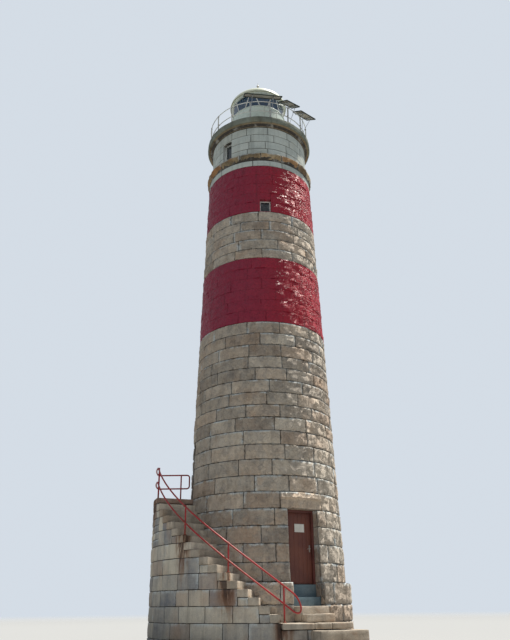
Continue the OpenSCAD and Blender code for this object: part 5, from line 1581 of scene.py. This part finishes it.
def build_gallery(s):
    """Posts with feet, collars and bolts, and the two ring rails."""
    f = mix_finishes(s)
    post_r, ring_r, pitch = 0.024, 0.017, 2 * pi / GALLERY_POSTS
    foot_point = np.array([0, -POST_RING_R, DECK_Z])
    flange = lathe([[0, 0], [0.046, 0], [0.048, 0.003], [0.048, 0.012], [0.045, 0.015], [0.030, 0.016],
                    [0.028, 0.032], [0.025, 0.038], [0, 0.038]], foot_point, rust=0.9)
    post_h = GALLERY_RAIL_H - 0.010
    post_line = [[0, 0.01]] + [[post_r, h] for h in (0.01, 0.2, 0.5, 0.7, post_h)] + [[0, post_h]]
    post = lathe(post_line, foot_point, 20)
    post.marks["rust"] = np.exp(-(post.points[:, 2] - DECK_Z) / 0.1) * 0.9
    collar = [[0, -0.026], [0.027, -0.026], [0.029, -0.020], [0.029, 0.020], [0.027, 0.026], [0, 0.026]]
    mid_r, mid_z = POST_RING_R - post_r - ring_r - 0.0005, DECK_Z + GALLERY_MID_H
    bolt = [[0, 0], [0.0075, 0], [0.0075, 0.005], [0.004, 0.007], [0.004, 0.011], [0, 0.0115]]
    one = joined([flange, post,
                  lathe(collar, foot_point + [0, 0, GALLERY_MID_H], 20, rust=0.5),
                  lathe(collar, foot_point + [0, 0, GALLERY_RAIL_H - 0.03], 20, rust=0.5),
                  bar((0, -POST_RING_R, mid_z), (0, -mid_r, mid_z), 0.012, 12, rust=0.6),
                  *bolts(bolt, foot_point + [0, 0, 0.014], 0.037)])
    posts = [one.turned(FIRST_POST_A + k * pitch) for k in range(GALLERY_POSTS)]
    make("gallery_posts_fitted", joined(posts), f["post_grey"], "white_metal", "gallery_posts")
    bearings = np.arange(240) * 2 * pi / 240
    rails = []
    for radius, z in ((POST_RING_R, DECK_Z + GALLERY_RAIL_H), (mid_r, mid_z)):
        ring = tube(polar(bearings, radius, z + 0.002 * np.sin(bearings * 5)), ring_r, closed=True)
        ring.marks["rust"] = np.repeat(np.clip(noise(polar(bearings, radius, z), 0.4, 310), 0, 1) * 0.6, 16)
        rails.append(ring)
        for k in range(4):
            a = FIRST_POST_A + (k + 0.5) * pi / 2
            ends = polar(np.array([a - 0.02, a + 0.02]), radius, z)
            rails.append(bar(*ends, ring_r + 0.003, rust=0.8))
    make("gallery_rail_rings", joined(rails), f["white"], "white_metal", "gallery_rails")


def build_lantern_wall(s):
    """Plated lantern wall with its straps and rivets, the door in it, and the rings over it."""
    f = mix_finishes(s)
    wall_t = 0.045
    door_a, door_w, door_h = radians(151.5), 0.62, 1.28
    top = foot("lantern_sill")
    parts = [wall_core(lambda a, b: rectangle(LANTERN_R - wall_t, LANTERN_R - 0.006, a, b), DECK_Z, top,
                       (door_a, door_w, DECK_Z - 0.1, DECK_Z + door_h))]
    strap = np.array([[-0.03, -0.004], [0.03, -0.004], [0.03, 0.003], [0.026, 0.006], [-0.026, 0.006],
                      [-0.03, 0.003]])

    def upright_strap(bearing, radius, z, rust):
        return sweep(polar(bearing, radius, z), strap, (sin(bearing), -cos(bearing), 0), rust=rust)

    for k in range(12):
        a = radians(15 + 30 * k)
        if abs((a - door_a + pi) % (2 * pi) - pi) < 0.35:
            continue
        parts.append(upright_strap(a, LANTERN_R - 0.008, np.linspace(DECK_Z + 0.07, top - 0.004, 6), 0.35))
        parts += [rivet(a + side * 0.016, z) for side in (-1, 1)
                  for z in np.arange(DECK_Z + 0.12, top - 0.03, 0.11)]
    start, end = door_a + 0.31, door_a + 2 * pi - 0.31
    band = [[LANTERN_R - 0.008, DECK_Z + 0.002], [LANTERN_R - 0.0005, DECK_Z + 0.002],
            [LANTERN_R - 0.0005, DECK_Z + 0.066], [LANTERN_R - 0.008, DECK_Z + 0.070]]
    parts.append(arc_solid(band, start, end, 168, rust=0.8))
    parts += [rivet(a, DECK_Z + 0.036) for a in np.linspace(start + 0.05, end - 0.05, 48)]
    make("lantern_wall_plated", joined(parts), f["lantern"], "lantern_white", "lantern_wall")

    low, high = DECK_Z + 0.004, DECK_Z + door_h - 0.004
    edge = (door_w / 2 - 0.003) / LANTERN_R
    plate = rectangle(LANTERN_R - 0.036, LANTERN_R - 0.014, low, high)
    door = [arc_solid(plate, door_a - edge, door_a + edge, 14)]
    for z in (low, (low + high) / 2 - 0.03, high - 0.07):
        rail = [[LANTERN_R - 0.016, z], [LANTERN_R - 0.006, z + 0.002], [LANTERN_R - 0.006, z + 0.068],
                [LANTERN_R - 0.016, z + 0.07]]
        door.append(arc_solid(rail, door_a - edge, door_a + edge, 14, rust=0.3))
    door += [upright_strap(door_a + side * (edge - 0.03), LANTERN_R - 0.014, np.linspace(low, high, 5), 0.3)
             for side in (-1, 1)]
    make("lantern_door_plated", joined(door), f["lantern"], "lantern_white", "lantern_door")

    r0, r1 = LANTERN_R - wall_t - 0.045, LANTERN_R + 0.015
    for node in ("lantern_sill", "lantern_head"):
        z0, z1 = foot(node), head(node)
        ring = ring_solid([[r0 + 0.004, z0], [r1 - 0.012, z0], [r1 - 0.002, z0 + 0.008], [r1, z0 + 0.02],
                           [r1, z1 - 0.014], [r1 - 0.006, z1 - 0.003], [r1 - 0.014, z1], [r0 + 0.004, z1],
                           [r0, z1 - 0.004], [r0, z0 + 0.004]], 224, rust=0.25)
        make(node + "_ring", ring, f["lantern"], "lantern_white", node)


def build_glazing(s):
    """Inclined round bars with sockets at their ends, and the panes between them."""
    f = mix_finishes(s)
    pairs, first_a, foot_a, head_a = 7, radians(-41.5), radians(17), radians(6)
    bars = []
    for k in range(pairs):
        middle = first_a + k * 2 * pi / pairs
        for side in (-1, 1):
            foot_end = polar(middle + side * foot_a, BAR_RING_R, GLAZING_Z + 0.002)
            head_end = polar(middle + side * head_a, BAR_RING_R, GLAZING_TOP - 0.002)
            socket = unit(head_end - foot_end) * 0.06
            bars += [bar(foot_end, head_end, 0.022, 18, 0.02, rust=0.15),
                     bar(foot_end, foot_end + socket, 0.030, 18, rust=0.4),
                     bar(head_end, head_end - socket, 0.030, 18, rust=0.4)]
    make("glazing_bars_round", joined(bars), f["white"], "white_metal", "glazing_bars")
    dress("lantern_glass", f["glass"])


def build_dome(s):
    """Dome with standing seams and an eave band, and the lightning rod with its ball."""
    f = mix_finishes(s)
    rise, thick, seams, first_seam_a = DOME_TOP - EAVE_Z, 0.03, 14, 0.2
    turn = np.linspace(0, pi / 2, 28)[:-1]
    back = turn[::-1]
    outer = np.stack([DOME_R * np.cos(turn), EAVE_Z + rise * np.sin(turn)], -1)
    inner = np.stack([(DOME_R - thick) * np.cos(back), EAVE_Z + (rise - thick) * np.sin(back)], -1)
    parts = [ring_solid(np.concatenate([outer, [[0.03, DOME_TOP], [0.03, DOME_TOP - thick]], inner]), 224)]
    seam = np.array([[-0.014, -0.006], [0.014, -0.006], [0.012, 0.003], [0.005, 0.007], [-0.005, 0.007],
                     [-0.012, 0.003]])
    bend = np.linspace(0.06, pi / 2 - 0.09, 30)
    radius, z = (DOME_R - 0.004) * np.cos(bend), EAVE_Z + (rise - 0.003) * np.sin(bend)
    for k in range(seams):
        a = 2 * pi * k / seams + first_seam_a
        out = unit(polar(a, np.cos(bend) / DOME_R, np.sin(bend) / rise))
        parts.append(sweep(polar(a, radius, z), seam, out, rust=0.25))
    eave = [[LANTERN_R - 0.08, 0], [DOME_R - 0.012, 0], [DOME_R - 0.002, 0.008], [DOME_R, 0.02],
            [DOME_R - 0.001, 0.045], [DOME_R - 0.012, 0.052], [LANTERN_R - 0.08, 0.03]]
    parts.append(ring_solid(np.array(eave) + [0, EAVE_Z], 224, rust=0.45))
    make("dome_seamed", joined(parts), f["dome"], "dome_paint", "dome")

    rod_r, ball_r, ball_z = 0.011, 0.055, ROD_TOP - 0.2
    ball = [[max(rod_r * 0.9, ball_r * cos(t)), ball_z + ball_r * sin(t)]
            for t in np.linspace(-pi / 2, pi / 2, 13)[1:-1]]
    base = [[0, -0.01], [0.045, -0.01], [0.045, 0.012], [0.036, 0.02], [0.022, 0.045], [0.015, 0.07],
            [rod_r, 0.08]]
    rod = lathe([*(np.array(base) + [0, DOME_TOP]), [rod_r, ball_z - ball_r - 0.003], *ball,
                 [rod_r, ball_z + ball_r + 0.003], [rod_r, ROD_TOP - 0.06], [0.004, ROD_TOP - 0.008],
                 [0, ROD_TOP]], steps=24, rust=0.5)
    make("lightning_rod_turned", rod, f["steel"], "hardware", "lightning_rod")


def rivet(bearing, z):
    """Low round head on the lantern's wall."""
    centre, size = polar(bearing, LANTERN_R - 0.002, z), 0.007
    out, side = polar(bearing, 1.0, 0.0), np.array([cos(bearing), sin(bearing), 0])
    angle = (np.arange(8) * pi / 4)[:, None]
    ring = np.cos(angle) * side + np.sin(angle) * np.array([0, 0, 1])
    return loft([centre + out * depth + spread * ring
                 for depth, spread in ((-0.004, size), (0.001, size), (0.0032, size * 0.6))], rust=0.5)


def panel_rows():
    """Solar panels from left to right: bearing that each faces, middle along its length, distance of the
    middle from the axis, its height, length and the bearings of its two legs' feet."""
    half_plan = PANEL_W / 2 * cos(PANEL_SLOPE)
    middle_r = [POST_RING_R - 0.15, POST_RING_R - 0.12, POST_RING_R - 0.08]
    end = 0.7
    rows = []
    for k, length in enumerate(PANEL_LENGTHS):
        turn = PANEL_FACING[k] - PANEL_FACING[k - 1]
        start = end * cos(turn) - (middle_r[k - 1] - half_plan) * sin(turn) + 0.02 if k else end - length
        end = start + length
        post = FIRST_POST_A + (k + 1) * 2 * pi / GALLERY_POSTS
        feet = (post - LEG_SPREAD_A, post + LEG_SPREAD_A) if k else (FIRST_POST_A, post)
        rows.append((PANEL_FACING[k], (start + end) / 2, middle_r[k], DECK_Z + PANEL_H - PANEL_DROP[k],
                     length, feet))
    return rows


def square_bar(start, end, width, **marks):
    """Square tube with rounded edges between two points, one face kept upright."""
    signs, arcs = rounded_section(0)
    rounding = 0.16 * width
    section = signs * (width / 2 - rounding) + arcs * rounding
    path = np.asarray(start) + (np.asarray(end) - start) * np.array([0, 0.5, 1])[:, None]
    return sweep(path, section, (0, 0, 1), **marks)


def build_solar_panels(s):
    """Framed panels over the gallery rail, on channel bearers, square legs with foot plates, and braces."""
    f = mix_finishes(s)
    frames, cells, backs, struts = [], [], [], []
    channel = np.array([[-0.018, -0.015], [0.018, -0.015], [0.018, 0.015], [0.0145, 0.015],
                        [0.0145, -0.0115], [-0.0145, -0.0115], [-0.0145, 0.015], [-0.018, 0.015]])
    # Frame's section: distance in from the edge, height over the frame's foot
    lip = np.array([[0, 0], [PANEL_RIM, 0], [PANEL_RIM, 0.002], [0.0025, 0.002], [0.0025, 0.030],
                    [0.011, 0.030], [0.011, 0.0392], [0.010, PANEL_T], [0.0008, PANEL_T], [0, 0.0392]])
    bolt = [[0, 0], [0.0055, 0], [0.0055, 0.004], [0.003, 0.005], [0.003, 0.009], [0, 0.0095]]
    corners = np.array([[-1, -1], [1, -1], [1, 1], [-1, 1]])
    c, sl = cos(PANEL_SLOPE), sin(PANEL_SLOPE)
    for facing_a, middle, radius, height, length, feet in panel_rows():
        chart = facing(facing_a)
        u_axis, v_axis, w_axis = chart(1.0, 0.0, 0.0), chart(0.0, c, sl), chart(0.0, -sl, c)
        place = straight(chart(middle, -radius, height), u_axis, v_axis, w_axis)
        half_l, half_w, depth = length / 2, PANEL_W / 2, PANEL_T / 2

        def sheet(low, high, **marks):
            edge = 0.003
            return block(place, (-half_l + edge, -half_w + edge, low),
                         (half_l - edge, half_w - edge, high), 0.001, 0.0, 0, 4, 1, **marks)

        u, v = corners[:, :1] * (half_l - lip[:, 0]), corners[:, 1:] * (half_w - lip[:, 0])
        frames.append(loft(place(u, v, lip[:, 1] - depth), True, rust=0.1))
        face = sheet(depth - 0.0095, depth - 0.0035)
        local = face.points - place(0.0, 0.0, 0.0)
        face.marks.update(u=local @ u_axis + half_l, v=local @ v_axis + half_w)
        cells.append(face)
        backs.append(sheet(depth - 0.0135, depth - 0.0105))
        for side, foot_a in zip((-1, 1), feet):
            x = side * BEARER_SHARE * length
            beam = [place(x, v, BEARER_W) for v in (-half_w + 0.006, 0.0, half_w - 0.006)]
            foot_point = polar(foot_a, LEG_FOOT_R, DECK_Z + 0.012)
            leg_head = place(x, -PANEL_W / 3, BEARER_W)
            branch = foot_point + (leg_head - foot_point) * 0.88
            foot_place = straight(polar(foot_a, LEG_FOOT_R, DECK_Z), polar(foot_a + pi / 2, 1, 0),
                                  -polar(foot_a, 1, 0))
            struts += [sweep(beam, channel, w_axis, rust=0.2),
                       square_bar(foot_point - [0, 0, 0.004], leg_head, 0.018, rust=0.3),
                       square_bar(branch, place(x, PANEL_W * 0.42, BEARER_W), 0.012, rust=0.3),
                       block(foot_place, (-0.028, -0.028, 0), (0.028, 0.028, 0.012), 0.003, 0.0, 0, 4, 1,
                             rust=0.8)]
            struts += [lathe(bolt, foot_place(0.019 * (-1) ** j, 0.019 * (-1) ** (j // 2), 0.0115), 6,
                             rust=1.0) for j in range(4)]
    make("solar_panel_frames", joined(frames), f["panel_frame"], "galvanised")
    make("solar_panel_cells", joined(cells), f["cells"], "panel_glass", "solar_panels")
    make("solar_panel_backs", joined(backs), f["backsheet"], "panel_glass")
    make("solar_panel_supports", joined(struts), f["zinc"], "galvanised", "panel_brackets")


# Stage: the camera was fitted to the tower's outline; angles are in degrees
CAMERA_AT, LENS, SENSOR_W, FAR = (-10.975, -20.213, 1.1), 36.6, 36, 500
CAMERA_HEADING, CAMERA_PITCH, CAMERA_ROLL = -27.896, 23.751, -0.619
# Heading of the sun from +X towards +Y, and its height over the horizon
SUN_HEADING, SUN_HEIGHT, SUN_ANGLE = -4, 68, 4


def add_camera(scene):
    """Camera of the picture, with its heading, pitch and roll."""
    data = bpy.data.cameras.new("Camera")
    data.sensor_width = SENSOR_W
    data.lens = LENS
    data.clip_end = FAR
    camera = bpy.data.objects.new("Camera", data)
    turn = (Matrix.Rotation(radians(CAMERA_HEADING), 4, "Z")
            @ Matrix.Rotation(radians(90 + CAMERA_PITCH), 4, "X")
            @ Matrix.Rotation(radians(CAMERA_ROLL), 4, "Z"))
    camera.matrix_world = Matrix.Translation(CAMERA_AT) @ turn
    scene.collection.objects.link(camera)
    scene.camera = camera


def add_sun(scene, strength):
    """Warm sun whose -Z axis points down from its heading and height."""
    sun = bpy.data.lights.new("Sun", "SUN")
    sun.energy = strength
    sun.angle = radians(SUN_ANGLE)
    sun.color = (1.0, 0.95, 0.86)
    lamp = bpy.data.objects.new("Sun", sun)
    lamp.matrix_world = (Matrix.Rotation(radians(SUN_HEADING), 4, "Z")
                         @ Matrix.Rotation(radians(90 - SUN_HEIGHT), 4, "Y")
                         @ Matrix.Rotation(pi / 2, 4, "Z"))
    scene.collection.objects.link(lamp)


def add_sky(scene, strength):
    """Pale backdrop for the camera and a softer light from all round for the rest."""
    world = bpy.data.worlds.new("Studio")
    world.use_nodes = True
    world.node_tree.nodes.clear()
    root = Wire(world.node_tree)
    path = lambda name: root.node("ShaderNodeLightPath", out=name)
    seen = path("Is Camera Ray") + path("Is Glossy Ray") * 0.2 + path("Is Transmission Ray")
    backdrop = root.node("ShaderNodeBackground", Color=(0.66, 0.72, 0.79, 1), Strength=1.0)
    light = root.node("ShaderNodeBackground", Color=(0.86, 0.93, 1.0, 1), Strength=strength)
    mixed = root.node("ShaderNodeMixShader", i0=seen.math("MINIMUM", 1.0), i1=light, i2=backdrop)
    root.node("ShaderNodeOutputWorld", Surface=mixed)
    scene.world = world


def add_floor(scene):
    """Plain matte floor, a closed round slab that fades into the backdrop far out."""
    radius = np.concatenate([[0.5], np.geomspace(2, 300, 40)])[:, None]
    angle = np.arange(96) * 2 * pi / 96
    top = np.stack(np.broadcast_arrays(radius * np.cos(angle), radius * np.sin(angle), 0.0), -1)
    slab = loft(np.concatenate([top, top[::-1] - np.array([0, 0, 0.4])]) - np.array([0, 0, 0.001]))
    mesh = bpy.data.meshes.new("Floor")
    mesh.from_pydata(slab.points.tolist(), [], [face.tolist() for group in slab.faces for face in group])
    face_out(mesh)
    piece = bpy.data.objects.new("Floor", mesh)
    scene.collection.objects.link(piece)
    f = Finish("Studio floor")
    far = f.root.node("ShaderNodeVectorMath", {"operation": "LENGTH"}, "Value", i0=f.place).over(26.0, 110.0)
    matte = f.root.node("ShaderNodeBsdfDiffuse", Color=(0.36, 0.37, 0.38, 1))
    shade = f.root.node("ShaderNodeBsdfDiffuse", Color=(0.30, 0.30, 0.29, 1))
    camera_ray = f.root.node("ShaderNodeLightPath", out="Is Camera Ray")
    near = f.root.node("ShaderNodeMixShader", i0=camera_ray, i1=shade, i2=matte)
    clear = f.root.node("ShaderNodeBsdfTransparent")
    faded = f.root.node("ShaderNodeMixShader", i0=far, i1=near, i2=clear)
    f.root.node("ShaderNodeOutputMaterial", Surface=faded)
    mesh.materials.append(f.material)


def build_stage(s):
    """Camera, soft light and a plain pale floor that runs out to the colour of the backdrop."""
    scene = bpy.context.scene
    scene.view_settings.view_transform = "Standard"
    scene.view_settings.look = "None"
    add_camera(scene)
    add_sun(scene, s.sun_strength)
    add_sky(scene, s.sky_strength)
    add_floor(scene)


# Operators and panel

class Undoable:
    """Options that the operators share."""

    bl_options = {"REGISTER", "UNDO"}


class AddGroundStorey(Undoable, bpy.types.Operator):
    """Adds the plinth, the ground storey's stones, the lintel and the lined doorway"""

    bl_idname = "lighthouse.ground_storey"
    bl_label = "Ground Storey"

    def execute(self, context):
        build_ground_storey(context.scene.lighthouse)
        return {"FINISHED"}


class AddShaft(Undoable, bpy.types.Operator):
    """Adds the rock-faced stones of the shaft and the upper doorway's lining"""

    bl_idname = "lighthouse.shaft"
    bl_label = "Shaft"

    def execute(self, context):
        build_shaft(context.scene.lighthouse)
        return {"FINISHED"}


class AddBands(Undoable, bpy.types.Operator):
    """Adds the two painted bands"""

    bl_idname = "lighthouse.bands"
    bl_label = "Red Bands"

    def execute(self, context):
        build_bands(context.scene.lighthouse)
        return {"FINISHED"}


class AddTowerHead(Undoable, bpy.types.Operator):
    """Adds the white course, the string course and the watch room"""

    bl_idname = "lighthouse.tower_head"
    bl_label = "Tower Head"

    def execute(self, context):
        build_tower_head(context.scene.lighthouse)
        return {"FINISHED"}


class AddCorniceAndDeck(Undoable, bpy.types.Operator):
    """Adds the cornice, the deck slab and the floors' finish"""

    bl_idname = "lighthouse.cornice_and_deck"
    bl_label = "Cornice and Deck"

    def execute(self, context):
        build_cornice_and_deck(context.scene.lighthouse)
        return {"FINISHED"}


class AddStairMasonry(Undoable, bpy.types.Operator):
    """Adds the stones under the winding stair"""

    bl_idname = "lighthouse.stair_masonry"
    bl_label = "Stair Masonry"

    def execute(self, context):
        build_stair_masonry(context.scene.lighthouse)
        return {"FINISHED"}


class AddTreads(Undoable, bpy.types.Operator):
    """Adds the worn treads and the landing slab"""

    bl_idname = "lighthouse.treads"
    bl_label = "Treads and Landing"

    def execute(self, context):
        build_treads(context.scene.lighthouse)
        return {"FINISHED"}


class AddFootSteps(Undoable, bpy.types.Operator):
    """Adds the foot slab, its stones and the low steps"""

    bl_idname = "lighthouse.foot_steps"
    bl_label = "Foot Slab and Low Steps"

    def execute(self, context):
        build_foot_steps(context.scene.lighthouse)
        return {"FINISHED"}


class AddEntranceSteps(Undoable, bpy.types.Operator):
    """Adds the steps before the doorway and the painted steps in it"""

    bl_idname = "lighthouse.entrance_steps"
    bl_label = "Entrance Steps"

    def execute(self, context):
        build_entrance_steps(context.scene.lighthouse)
        return {"FINISHED"}


class AddEntranceDoor(Undoable, bpy.types.Operator):
    """Adds the boarded door with its frame, lever, hinges and notice sheet"""

    bl_idname = "lighthouse.entrance_door"
    bl_label = "Entrance Door"

    def execute(self, context):
        build_entrance_door(context.scene.lighthouse)
        return {"FINISHED"}


class AddOpenings(Undoable, bpy.types.Operator):
    """Adds the upper door and the two windows"""

    bl_idname = "lighthouse.openings"
    bl_label = "Upper Door and Windows"

    def execute(self, context):
        build_openings(context.scene.lighthouse)
        return {"FINISHED"}


class AddStairRails(Undoable, bpy.types.Operator):
    """Adds the stair's pipe rails and posts"""

    bl_idname = "lighthouse.stair_rails"
    bl_label = "Stair Rails"

    def execute(self, context):
        build_stair_rails(context.scene.lighthouse)
        return {"FINISHED"}


class AddLandingRail(Undoable, bpy.types.Operator):
    """Adds the loop of pipe across the landing's end"""

    bl_idname = "lighthouse.landing_rail"
    bl_label = "Landing Rail"

    def execute(self, context):
        build_landing_rail(context.scene.lighthouse)
        return {"FINISHED"}


class AddGallery(Undoable, bpy.types.Operator):
    """Adds the gallery's posts and ring rails"""

    bl_idname = "lighthouse.gallery"
    bl_label = "Gallery Rails"

    def execute(self, context):
        build_gallery(context.scene.lighthouse)
        return {"FINISHED"}


class AddLanternWall(Undoable, bpy.types.Operator):
    """Adds the plated wall, its door and its rings"""

    bl_idname = "lighthouse.lantern_wall"
    bl_label = "Lantern Wall"

    def execute(self, context):
        build_lantern_wall(context.scene.lighthouse)
        return {"FINISHED"}


class AddGlazing(Undoable, bpy.types.Operator):
    """Adds the lantern's inclined bars and panes"""

    bl_idname = "lighthouse.glazing"
    bl_label = "Glazing"

    def execute(self, context):
        build_glazing(context.scene.lighthouse)
        return {"FINISHED"}


class AddDome(Undoable, bpy.types.Operator):
    """Adds the seamed dome and the lightning rod"""

    bl_idname = "lighthouse.dome"
    bl_label = "Dome and Rod"

    def execute(self, context):
        build_dome(context.scene.lighthouse)
        return {"FINISHED"}


class AddSolarPanels(Undoable, bpy.types.Operator):
    """Adds the framed panels with their bearers and legs"""

    bl_idname = "lighthouse.solar_panels"
    bl_label = "Solar Panels"

    def execute(self, context):
        build_solar_panels(context.scene.lighthouse)
        return {"FINISHED"}


class AddStage(Undoable, bpy.types.Operator):
    """Adds the camera, the soft light and the floor"""

    bl_idname = "lighthouse.stage"
    bl_label = "Studio Stage"

    def execute(self, context):
        build_stage(context.scene.lighthouse)
        return {"FINISHED"}


OPERATORS = (
    AddGroundStorey, AddShaft, AddBands, AddTowerHead, AddCorniceAndDeck, AddStairMasonry, AddTreads,
    AddFootSteps, AddEntranceSteps, AddEntranceDoor, AddOpenings, AddStairRails, AddLandingRail,
    AddGallery, AddLanternWall, AddGlazing, AddDome, AddSolarPanels, AddStage,
)


class LighthousePanel(bpy.types.Panel):
    """Sidebar panel with the lighthouse's settings and the operators that build it"""

    bl_idname = "VIEW3D_PT_lighthouse"
    bl_label = "Stone Lighthouse"
    bl_space_type = "VIEW_3D"
    bl_region_type = "UI"
    bl_category = "Lighthouse"

    def draw(self, context):
        settings = context.scene.lighthouse
        for key in LighthouseSettings.__annotations__:
            self.layout.prop(settings, key)
        for operator in OPERATORS:
            self.layout.operator(operator.bl_idname)


CLASSES = (LighthouseSettings, *OPERATORS, LighthousePanel)


def register():
    """Registers the classes and gives each scene its settings."""
    for kind in CLASSES:
        bpy.utils.register_class(kind)
    bpy.types.Scene.lighthouse = PointerProperty(type=LighthouseSettings)


def unregister():
    """Takes the settings and the classes away again."""
    del bpy.types.Scene.lighthouse
    for kind in reversed(CLASSES):
        bpy.utils.unregister_class(kind)


def main():
    """Runs every operator in order."""
    register()
    for operator in OPERATORS:
        getattr(bpy.ops.lighthouse, operator.bl_idname.split(".")[1])()


if __name__ == "__main__":
    main()
